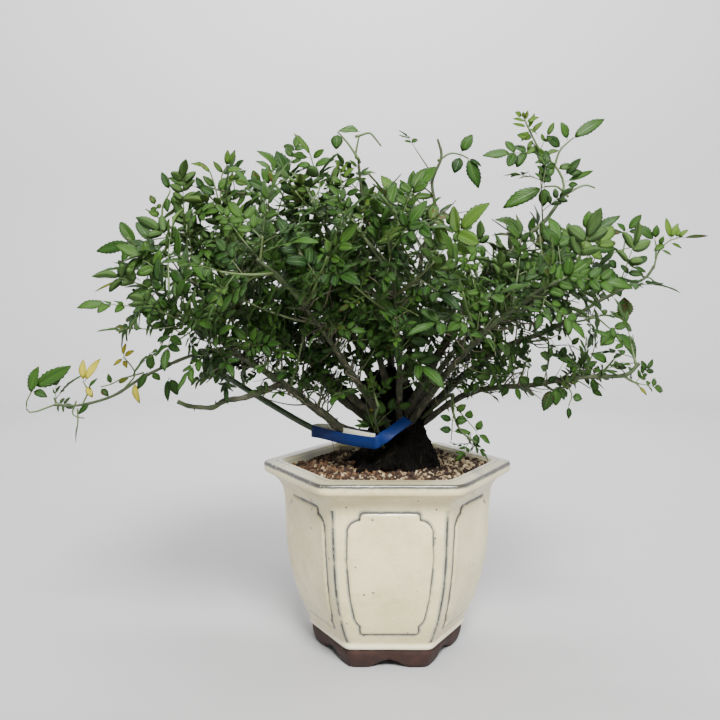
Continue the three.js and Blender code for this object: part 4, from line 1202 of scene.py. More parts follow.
def tag_part():
    """The strip: a ring of ten points round its thin section at each step of its line."""
    line, run, _ = along_path(TAG_LINE, np.linspace(0, 1, 150))
    out = unit(np.cross(run, UP))
    tall = np.cross(out, run)
    lean = TAG_LEAN * np.clip(3 - 3 * np.linspace(0, 1, len(line)) / TAG_LEAN_SHARE, 0, 1)[:, None]
    out, tall = out * np.cos(lean) - tall * np.sin(lean), tall * np.cos(lean) + out * np.sin(lean)
    outline = np.array([(-1, 0.94), (-0.5, 1), (0.5, 1), (1, 0.94), (1, 0), (1, -0.94), (0.5, -1),
                        (-0.5, -1), (-1, -0.94), (-1, 0)])
    a, b = outline[:, :1] * TAG_HALF_THICK, outline[:, 1:] * TAG_HALF_WIDTH
    rings = line[:, None] + a * out[:, None] + b * tall[:, None]
    rings[..., 2] += (0.3 * MM * np.sin(line[:, 0] / (9 * MM)))[:, None]
    made = closed_rings(rings[:, ::-1])
    quads = made["faces"][0][0]
    back = np.isin(np.arange(len(quads)) % 10, [4, 5])
    made["faces"] = [(quads[~back], 0), (quads[back], 1)] + made["faces"][1:]
    return made


TAG_BLUE = plastic_material("tag_blue", (0.0004, 0.013, 0.09), 0.45, 0.2)
TAG_CREAM = plastic_material("tag_cream", (0.66, 0.66, 0.52), 0.45)
piece("tag_strip", [tag_part()], [TAG_BLUE, TAG_CREAM], ["plant_tag"])

# %% [markdown]
# ## How the shoots grow
# The leaves sit on side shoots, and the shoots follow the same rule as in the solids. A shoot
# leaves its cane half along it and half out of it, turned on by the golden angle from the last,
# and it is cut back until it stays in the crown. The crown is a squarish ball. A shoot that would
# leave it even when short isn't grown at all.

# %% Side shoots
SHOOT_RADIUS = 1.15 * MM
SHORTEST = 14 * MM
LEAF_REACH = 46 * MM
CROWN_MIDDLE = np.array([-28, 0, 312]) * MM
CROWN_HALF = (214 * MM, 158 * MM)
CROWN_ABOVE = 66 * MM
CROWN_LEAN = 0.18  # how fast its top falls to the right
CROWN_BELOW = 64 * MM
CROWN_POWER = 3
DEPTH_LIMIT = 148 * MM
LEFT_LIMIT = -270 * MM


def outside_crown(point, room):
    """Whether a point is out of the crown: |x|^3 + |y|^3 + |z|^3 over its half sizes is over 1."""
    x, y, z = (point - CROWN_MIDDLE) / room
    height = CROWN_ABOVE - CROWN_LEAN * x if z > 0 else CROWN_BELOW
    shares = np.array([x / CROWN_HALF[0], y / CROWN_HALF[1], z / height])
    return np.sum(np.abs(shares) ** CROWN_POWER) > 1


def arc(start, middle, end, t):
    """Points of a parabola through its two ends, pulled towards its middle point."""
    t = np.asarray(t, float)[..., None]
    return (1 - t) ** 2 * start + 2 * t * (1 - t) * middle + t**2 * end


def grow_shoot(c, k):
    """Shoot k of cane c as its number, leaf size and three points, or None."""
    row = CANES[c]
    number = 100 * (c + 1) + k
    share = min((row["start"] + row["every"] * k) / lengths[c], 0.985)
    root, along, _ = along_path(row["points"], share)
    first, second = across(along)
    turn = GOLDEN * k + c + 1.2 * (draw(number, 1) - 0.5)
    way = unit(0.5 * along + 0.8 * first * math.cos(turn) + 0.8 * second * math.sin(turn) + 0.2 * UP)
    cosine = min(way @ along, 0.9)
    seat = (cane_radius(c, share) + 0.4 * MM + SHOOT_RADIUS * cosine) / math.sqrt(1 - cosine**2)
    start = root + way * seat
    leaf = LEAF_REACH * row["leaf"]
    span = row["reach"] * (0.75 + 0.5 * draw(number, 2))
    while span > SHORTEST and outside_crown(start + way * (span + leaf), row["room"]):
        span *= 0.85
    if outside_crown(start + way * (span + leaf / 2), row["room"]):
        return None
    end = start + way * span + UP * 0.16 * span
    return {"cane": c, "number": number, "leaf": row["leaf"], "root": root, "share": share,
            "solid": f"shoot_{c + 1:02d}_{k + 1}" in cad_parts,
            "arc": (start, start + way * span / 2, end)}


def grow_shoots():
    """Every shoot of every cane, from its start to its tip."""
    grown = []
    for c, row in enumerate(CANES):
        last = math.floor((lengths[c] - row["start"]) / row["every"] + 0.5)
        grown += [grow_shoot(c, k) for k in range(last + 1)]
    return [shoot for shoot in grown if shoot and (shoot["solid"] or shoot["cane"] not in SPARE_CANES)]


shoots = grow_shoots()
print(len(shoots), "side shoots")

# %% [markdown]
# ## Small sprays inside the crown
# Between those shoots, and lower down, the canes carry short weak sprays with small leaves. They
# stand at even steps along each cane, each turned and sized by its own draws, and are kept above
# the rim of the pot and inside the crown's width.

# %% Sprays
SPRAYS = 11  # on most canes
SPRAY_RADIUS = 0.7 * MM
FIRST_SPRAY = 5000  # sprays are numbered from here on, and shoots below
MORE_SPRAYS = {3: 34, 5: 22, 8: 18, 15: 24, 17: 14, 9: 14, 2: 14}
SPRAY_FROM, SPRAY_TO = 0.18, 0.88
WIDEST = 190 * MM


def grow_spray(c, n):
    """Spray n of cane c in the same form as a shoot, or None where it would hang too low or wide."""
    number = FIRST_SPRAY + 40 * c + n
    count = MORE_SPRAYS.get(c, SPRAYS)
    share = SPRAY_FROM + (SPRAY_TO - SPRAY_FROM) * (n + draw(number, 1)) / count
    root, along, _ = along_path(CANES[c]["points"], share)
    first, second = across(along)
    turn = 2 * math.pi * draw(number, 5)
    rise = (1 - 1.3 * draw(number, 8)) * UP
    way = unit(0.4 * along + first * math.cos(turn) + second * math.sin(turn) + 0.6 * rise)
    span = (14 + 26 * draw(number, 2)) * MM
    start = root + way * cane_radius(c, share)
    end = start + way * span + UP * span * (0.5 * draw(number, 6) - 0.15)
    reach = end + 12 * MM * way
    wide = abs(reach[0] - CROWN_MIDDLE[0]) > WIDEST or abs(reach[1]) > 0.8 * DEPTH_LIMIT
    if wide or reach[2] < LOWEST or in_heart(end):
        return None
    return {"cane": c, "number": number, "leaf": 0.65 + 0.4 * draw(number, 7), "root": root,
            "share": share, "solid": False, "arc": (start, start + way * span / 2, end)}


sprays = [grow_spray(c, n) for c in FULL_CANES for n in range(MORE_SPRAYS.get(c, SPRAYS))]
sprays = [spray for spray in sprays if spray]
print(len(sprays), "small sprays")

# %% [markdown]
# ## Where each leaf goes
# A shoot has six places for a leaf, the last one at its end, and chance leaves some bare, more of
# them where the crown is thin. Each leaf turns on by the golden angle, and its upper side looks up
# and out of the crown, with a stray of its own, because leaves turn to the light. Leaves at the
# tips of strong shoots are young, and a few elsewhere are spotted.

# %% Leaves on shoots
LEAVES = 6
SOLID_PLACES = (0, 2, 3, 5)  # the places that may carry a leaf in the solids, which stay full size
LOOK_OUT = np.array([0, 0, 250]) * MM  # leaves face up and away from this point


def facing(out, axis, number, j):
    """The way that a leaf's upper side faces, square to its axis: up, out and a stray of its own."""
    stray = 0.9 * (draw(number, np.array([10, 20, 40]) + j) - 0.5)
    return square_to(0.5 * UP + 0.75 * out + stray, axis)


def new_leaf(base, axis, face, length, number, cane=-1, droop=0.1, pairs=0, wide=0.2, youth=0, yellow=0):
    """One leaf: where its rib starts, its directions, its size, and how it is coloured."""
    return {"base": base, "axis": axis, "face": face, "length": length, "droop": droop,
            "pairs": pairs, "wide": wide, "youth": youth, "yellow": yellow, "number": number,
            "tone": draw(number, 91), "spot": draw(number, 92), "cane": cane}


# Where the crown is thin: middle (x, z) and radius in millimetres, and the share of leaves left out.
# Where that share is nearly one, the leaves that the solids have there are left out too.
THIN_SPOTS = np.array([
    (-232, 356, 30, 1), (-205, 348, 22, 1), (-182, 350, 16, 0.8), (-178, 330, 18, 0.5), (-232, 325, 20, 1),
    (36, 396, 38, 0.85), (52, 346, 14, 1), (80, 352, 18, 0.8), (113, 352, 24, 0.85), (150, 352, 22, 0.85),
    (200, 335, 24, 0.75), (214, 318, 20, 0.7), (101, 227, 18, 0.85), (-214, 261, 14, 1), (-96, 194, 18, 1),
    (-20, 420, 42, 0.3), (-30, 220, 24, 0.5), (-50, 178, 20, 1), (-70, 245, 15, 0.5), (-160, 310, 14, 0.5),
    (-60, 315, 14, 0.5), (150, 258, 16, 0.4), (180, 262, 16, 0.6), (-150, 395, 22, 0.8), (48, 300, 14, 0.4),
])
ALL_OUT = 0.96
FRONT_PULL = 0.18  # how far leaves on the near side turn to the front
LEFT_OUT = {True: 0.34, False: 0.26}  # the share of bare places on sprays, and on shoots
YOUTH = (0, 0, 0, 0.08, 0.2, 0.36)  # of the leaf at each place of a strong shoot


def thinned(point):
    """The share of leaves left out at a point, from the spots that it lies in."""
    away = np.hypot(point[0] / MM - THIN_SPOTS[:, 0], point[2] / MM - THIN_SPOTS[:, 1])
    return 1 - np.prod(1 - THIN_SPOTS[:, 3] * (away < THIN_SPOTS[:, 2]))


def shoot_leaf(shoot, j):
    """Leaf j of a shoot, or None where it would reach past the crown's limits."""
    share = 0.25 + 0.75 * j / (LEAVES - 1)
    number = shoot["number"]
    base = arc(*shoot["arc"], share)
    along = unit(arc(*shoot["arc"], min(share + 1e-4, 1)) - arc(*shoot["arc"], share - 1e-4))
    first, second = across(along)
    turn = GOLDEN * j + 6.28 * draw(number, 3)
    last = j == LEAVES - 1
    side = 0 if last else 0.8 * first * math.cos(turn) + 0.8 * second * math.sin(turn)
    axis = unit(along * (1 if last else 0.45) + side + 0.12 * UP)
    size = shoot["leaf"]
    small = number >= FIRST_SPRAY
    left_out = thinned(base + 20 * MM * axis)
    if left_out > ALL_OUT:
        return None
    if not (shoot["solid"] and j in SOLID_PLACES):
        if draw(number, 60 + j) < left_out + (1 - left_out) * LEFT_OUT[small]:
            return None
        size *= (0.45 + 0.4 * shoot["share"]) * (0.75 + 0.5 * draw(number, 64 + j))
    length = size * LEAF_REACH * (0.85 + 0.3 * draw(number, 30 + j))
    tip = base + axis * length
    if abs(tip[1]) > DEPTH_LIMIT or tip[0] < LEFT_LIMIT:
        return None
    low = tip[2] < LOWEST + 0.12 * max(0, -tip[1])
    if not shoot["solid"] and (low or in_heart(base + 0.6 * length * axis)):
        return None
    pull = FRONT_PULL * FRONT * (base[1] < 30 * MM)
    face = facing(unit(base - LOOK_OUT) + pull, axis, number, j)
    strong = draw(number, 4) > 0.55
    youth = YOUTH[j] * (0.25 if small or not strong else 1.0)
    pairs = 3 if draw(number, 70 + j) > 0.55 and size != shoot["leaf"] else 2
    droop = 0.1 + 0.16 * draw(number, 50 + j)
    return new_leaf(base, axis, face, length, 10 * number + j, shoot["cane"], droop, pairs, youth=youth)


leaves = [leaf for stem in shoots + sprays for j in range(LEAVES) if (leaf := shoot_leaf(stem, j))]
with_leaves = {leaf["number"] // 10 for leaf in leaves}
stems = [stem for stem in shoots + sprays if stem["number"] in with_leaves]
print(len(leaves), "leaves on shoots and sprays")

# %% [markdown]
# ## One leaflet
# A rose leaflet is an egg-shaped blade with a saw-toothed edge, folded a little along its rib,
# with each half slightly domed. Every second point of the outline below is the tip of a tooth. The
# upper skin is finer than the lower one, both share the edge, and so each leaflet is one thin
# closed form of 36 to 116 triangles. UV runs from base to tip and from edge to edge, for the veins.

# %% Leaflet pattern
# The shortest leaflet of each pattern, the steps along its edge, and the depth of its teeth.
PATTERNS = ((15.5 * MM, 16, 0.09), (10 * MM, 8, 0.02), (0, 6, 0.0))


def leaflet_pattern(edge_steps, teeth):
    """Places along (0 to 1) and across (-1 to 1), each point's tooth reach, its drop below the
    skin, and the triangles of both skins."""
    half = edge_steps // 2
    edge = np.arange(1, edge_steps)
    tips = edge % 2 == 1
    edge_along = (edge + np.where(tips, 0.3, -0.1)) / edge_steps
    inner_along = np.arange(1, half) / half
    inner = np.full(half - 1, 1.0)
    along = [[0, 1], inner_along, inner_along, inner_along, inner_along, edge_along, edge_along]
    aside = [[0, 0], 0 * inner, 0 * inner, 0.5 * inner, -0.5 * inner, 1.0 + 0 * edge, -1.0 + 0 * edge]
    reach = [[1, 1], inner, inner, inner, inner, *2 * [1 + teeth * np.where(tips, 1, -0.8)]]
    drop = [[0, 0], 0 * inner, inner, 0 * inner, 0 * inner, 0.0 * edge, 0.0 * edge]
    starts = np.cumsum([0] + [len(block) for block in along])
    chains = [np.array([0, *range(starts[n], starts[n + 1]), 1]) for n in range(1, 7)]
    rib, under, mid_left, mid_right, edge_left, edge_right = chains
    top, low = [], []
    for mid, rim, side in ((mid_left, edge_left, 1), (mid_right, edge_right, -1)):
        for k in range(half):
            a, b, c = rim[2 * k:2 * k + 3]
            top += [(rib[k], rib[k + 1], mid[k + 1])[::side], (rib[k], mid[k + 1], mid[k])[::side]]
            top += [(mid[k], b, a)[::side], (mid[k], mid[k + 1], b)[::side], (mid[k + 1], c, b)[::side]]
            low += [(under[k], a, b)[::side], (under[k], b, under[k + 1])[::side]]
            low += [(under[k + 1], b, c)[::side]]
    skins = [np.array([face for face in skin if len(set(face)) == 3]) for skin in (top, low)]
    return [np.concatenate(block) for block in (along, aside, reach, drop)], skins


def blades_part(rows, edge_steps, teeth):
    """Leaflets as one part: each is the pattern, bent and set in its own frame.

    Half width = half (u/m)^a ((1 - u)/(1 - m))^b with m = a / (a + b), and the height over the
    flat blade = fold |w| + dome - curl x^2 / length + wave sin(9u + phase) |w| + twist u w."""
    (u, v, reach, drop), skins = leaflet_pattern(edge_steps, teeth)
    n = rows["number"][:, None]
    a, b = 0.6 + 0.15 * rows["ends"][:, None], 0.66 + 0.24 * rows["ends"][:, None]
    middle = a / (a + b)
    wide = (u / middle) ** a * ((1 - u) / (1 - middle)) ** b
    length, half = rows["length"][:, None], rows["half"][:, None]
    x = u * length
    w = half * wide * v * reach
    fold = 0.1 + 0.3 * draw(n, 81)
    curl = 0.05 + 0.25 * draw(n, 82)
    wave = 0.11 * np.sin(9 * u + 6.28 * draw(n, 83)) * np.abs(w)
    dome = 0.09 * half * wide * (1 - (2 * np.abs(v) - 1) ** 2)
    twist = 0.5 * (draw(n, 84) - 0.5) * u * w
    z = fold * np.abs(w) + dome - curl * x**2 / length + wave + twist
    z = z - drop * length * 0.03 * (1 - 0.6 * u)
    ways = (rows["along"], np.cross(rows["face"], rows["along"]), rows["face"])
    points = rows["base"][:, None] + sum(s[..., None] * way[:, None] for s, way in zip((x, w, z), ways))
    step = (len(u) * np.arange(len(n)))[:, None, None]
    faces = [((skin + step).reshape(-1, 3), number) for number, skin in enumerate(skins)]
    uv = np.tile(np.stack([u, 0.5 + 0.5 * v], axis=1), (len(n), 1))
    values = {name: np.repeat(rows[name], len(u)) for name in ("tone", "youth", "yellow", "spot")}
    return part(points, faces, uv=uv, **values)


# %% [markdown]
# ## One leaf
# A leaf is a thin rib that droops, with two or three pairs of leaflets and a larger one at its end.
# The pairs stand off by some 56 degrees and are lifted a little. All leaves are worked out at once:
# the table holds one column per leaf, and each step below picks the leaves that have that pair.

# %% Ribs and leaflets
SPREAD = 0.98
PAIR_AT = {1: (0.3, 0.22), 2: (0.27, 0.22), 3: (0.2, 0.17)}  # first pair, and the step to the next
PAIR_SIZE = {1: 0.29, 2: 0.29, 3: 0.255}
END_AT = {0: 0.1, 1: 0.52, 2: 0.56, 3: 0.61}


def lookup(table, pairs, which=None):
    """A value for each leaf by its number of pairs."""
    return np.array([table[p] if which is None else table[p][which] for p in pairs])


def leaf_table(leaves):
    """The leaves as one array for each of their values."""
    return {key: np.array([leaf[key] for leaf in leaves]) for key in leaves[0]}


def rib_point(table, x):
    """A leaf's rib at x from its base, its direction and its upper side: it drops by
    droop x^2 / length."""
    axis, face = table["axis"], table["face"]
    slope = (table["droop"] * x / table["length"])[:, None]
    point = table["base"] + axis * x[:, None] - face * slope * x[:, None]
    return point, unit(axis - 2 * slope * face), unit(face + 2 * slope * axis)


def leaflet_row(table, point, way, face, length, half, ends, index):
    """A column for each leaflet: its frame, its size and its colours."""
    number = 7 * table["number"] + index
    change = 0.5 * (draw(number, 85) - 0.5)
    stray = 0.6 * (np.stack([draw(number, 86), draw(number, 87), draw(number, 88)], axis=1) - 0.5)
    return {"base": point, "along": way, "face": square_to(face + stray, way), "length": length,
            "half": half, "ends": np.full(len(number), float(ends)), "number": number,
            "tone": np.clip(table["tone"] + change, 0, 1), "youth": table["youth"],
            "yellow": table["yellow"], "spot": (table["spot"] > 0.9) * draw(number, 89)}


def leaflets_of(table):
    """Every leaflet of the leaves in a table: their pairs first, then the one at each end."""
    rows = []
    for i in range(3):
        has = table["pairs"] > i
        if not has.any():
            continue
        some = {key: value[has] for key, value in table.items()}
        first, step = (lookup(PAIR_AT, some["pairs"], n) for n in (0, 1))
        size = lookup(PAIR_SIZE, some["pairs"]) + 0.03 * i
        for side in (-1, 1):
            index = 2 * i + (side + 1) // 2
            number = 7 * some["number"] + index
            at = some["length"] * (first + step * i + 0.03 * (draw(number, 71) - 0.5))
            point, along, face = rib_point(some, at)
            lean = SPREAD + 0.5 * (draw(number, 72) - 0.5)
            lift = 0.16 + 0.5 * (draw(number, 73) - 0.5)
            aside = side * np.cross(face, along)
            way = unit(np.cos(lean)[:, None] * along + np.sin(lean)[:, None] * aside + lift[:, None] * face)
            length = some["length"] * size * (0.88 + 0.24 * draw(number, 74))
            half = (some["wide"] + 0.05) * length * (0.9 + 0.25 * draw(number, 75))
            rows.append(leaflet_row(some, point, way, face, length, half, 0, index))
    at = table["length"] * lookup(END_AT, table["pairs"])
    point, along, face = rib_point(table, at)
    length = 1.04 * table["length"] - at
    half = table["wide"] * length * (0.95 + 0.2 * draw(table["number"], 76))
    rows.append(leaflet_row(table, point, along, face, length, half, 1, 6))
    return {key: np.concatenate([row[key] for row in rows]) for key in rows[0]}


def ribs_part(table):
    """The leaves' ribs as thin tubes, from the shoot to the foot of the end leaflet."""
    share = np.linspace(0, 1, 6)
    at = table["length"] * lookup(END_AT, table["pairs"])
    paths = np.stack([rib_point(table, at * s)[0] for s in share], axis=1)
    thin = (table["length"] / LEAF_REACH)[:, None] ** 0.5
    radii = (0.5 - 0.2 * share) * MM * thin
    return tubes(paths, radii, 4, material=2, tone=table["tone"], youth=0.3 + 0.7 * table["youth"])


# %% [markdown]
# ## Leaf skins
# The upper skin is dark and slightly waxy, the lower one paler and matt. Veins branch from the rib
# at a slant: their lines are stripes of u - |v - 1/2|, thin and a little paler, and the blade swells
# between them. Young leaves turn a light yellow-green. Light passes through a thin blade, so part
# of the light that falls on one side leaves by the other.

# %% Leaf materials
def make_veins():
    """Veins from UV: the rib is where v is in the middle, and side veins are slanted stripes."""
    group, given, out = new_group("veins", {"Count": 9.0}, ["Line", "Height"])
    sides = add(group, "ShaderNodeSeparateXYZ", {0: given["Vector"]}).outputs
    aside = math_node(group, "ABSOLUTE", math_node(group, "SUBTRACT", sides[1], 0.5))
    slant = math_node(group, "SUBTRACT", sides[0], aside)
    stripe = math_node(group, "PINGPONG", product(group, slant, given["Count"]), 0.5)
    side_line = between(group, stripe, 0.09, 0.0)
    rib_line = between(group, aside, 0.035, 0.008)
    line = math_node(group, "MAXIMUM", product(group, side_line, 0.45), rib_line)
    group.links.new(line, out["Line"])
    swell = between(group, stripe, 0.0, 0.4)
    group.links.new(product(group, swell, between(group, aside, 0.0, 0.12)), out["Height"])
    return group


VEINS = make_veins()


def leaf_material(name, dark, light, young, vein, rough, through):
    """A leaf skin from its stored tone, youth, yellowness and spots, with some light let through."""
    material, tree, shader = new_material(name, rough, Specular_IOR_Level=0.32)
    uv = add(tree, "ShaderNodeTexCoord").outputs["UV"]
    values = {key: stored(tree, key) for key in ("tone", "youth", "yellow", "spot")}
    veins = use(tree, VEINS, Vector=uv, Count=8.0)
    colour = blend(tree, values["tone"], dark, light)
    cloud = patches(tree, place(tree), 110.0, 0.35, 0.7)
    colour = blend(tree, product(tree, cloud, 0.35), colour, light)
    colour = blend(tree, values["youth"], colour, young)
    colour = blend(tree, values["yellow"], colour, (0.62, 0.55, 0.05))
    colour = blend(tree, product(tree, veins["Line"], 0.32), colour, vein)
    rust = patches(tree, place(tree), 420.0, 0.5, 0.6)
    colour = blend(tree, product(tree, rust, values["spot"]), colour, (0.1, 0.035, 0.012))
    tree.links.new(colour, shader["Base Color"])
    tree.links.new(bump(tree, veins["Height"], 0.00035), shader["Normal"])
    glow = add(tree, "ShaderNodeBsdfTranslucent", {"Color": colour})
    surface = tree.nodes["Principled BSDF"].outputs[0]
    mixed = add(tree, "ShaderNodeMixShader", {0: through, 1: surface, 2: glow.outputs[0]})
    tree.links.new(mixed.outputs[0], tree.nodes["Material Output"].inputs["Surface"])
    return material


def stem_material():
    """Young stems and ribs: green, browner where they are older."""
    material, tree, shader = new_material("young_stem", 0.5)
    tone = stored(tree, "tone")
    youth = stored(tree, "youth")
    old = blend(tree, tone, (0.035, 0.03, 0.012), (0.035, 0.055, 0.014))
    tree.links.new(blend(tree, youth, old, (0.09, 0.17, 0.035)), shader["Base Color"])
    return material


LEAF_TOP = leaf_material("leaf_top", (0.009, 0.038, 0.006), (0.045, 0.122, 0.014),
                         (0.16, 0.3, 0.035), (0.11, 0.21, 0.04), 0.4, 0.26)
LEAF_UNDER = leaf_material("leaf_under", (0.06, 0.13, 0.035), (0.1, 0.2, 0.05),
                           (0.2, 0.32, 0.06), (0.16, 0.26, 0.08), 0.6, 0.28)
YOUNG_STEM = stem_material()
FOLIAGE = [LEAF_TOP, LEAF_UNDER, YOUNG_STEM]

# %% [markdown]
# ## The leafy shoots
# The shoots of one cane make one piece, and it stands for that cane's solid shoots. Their stems
# leave the middle of the cane, so that no gap shows, and then follow the shoot's own curve.

# %% Foliage by cane
STEM_STEPS = 12


def shoots_part(some):
    """Stems of shoots as tubes: from inside the cane, then along the shoot's curve."""
    t = np.linspace(0, 1, STEM_STEPS - 1)
    paths = np.stack([np.vstack([s["root"], arc(*s["arc"], t)]) for s in some])
    numbers = np.array([s["number"] for s in some])
    thick = np.where(numbers < FIRST_SPRAY, SHOOT_RADIUS, SPRAY_RADIUS)[:, None]
    radii = thick * (1 - 0.4 * np.linspace(0, 1, STEM_STEPS))
    return tubes(paths, radii, 7, material=2, tone=draw(numbers, 95), youth=0.15 + 0.3 * draw(numbers, 96))


def foliage_parts(leaves):
    """Ribs and leaflets of some leaves, with fewer points for the smaller leaflets."""
    table = leaf_table(leaves)
    rows, parts, longest = leaflets_of(table), [ribs_part(table)], 1.0
    for shortest, edge_steps, teeth in PATTERNS:
        fits = (rows["length"] >= shortest) & (rows["length"] < longest)
        longest = shortest
        if fits.any():
            parts.append(blades_part({key: value[fits] for key, value in rows.items()}, edge_steps, teeth))
    return parts


for c in range(len(CANES)):
    mine = [stem for stem in stems if stem["cane"] == c]
    nodes = [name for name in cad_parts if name.startswith(f"shoot_{c + 1:02d}_")]
    if mine:
        parts = [shoots_part(mine)] + foliage_parts([leaf for leaf in leaves if leaf["cane"] == c])
        piece(f"shoots_of_cane_{c + 1:02d}", parts, FOLIAGE, nodes)

# %% [markdown]
# ## Shoots set one by one
# Long shoots that stand clear of the crown give it its outline, and at its edge each leaf can be
# told apart, dry and yellow ones too. These are set one by one. A row holds a name, a depth, the
# radius of a stem's foot, the stems as points (x, z), and the leaves as foot, tip, half width in
# hundredths of the length, and where they aren't 0, youth and yellowness in hundredths and pairs of
# leaflets. A third number in a stem's point is a depth of its own: it takes the stem's foot back to
# its cane. A row stands for the solid shoot of its name, where there is one.

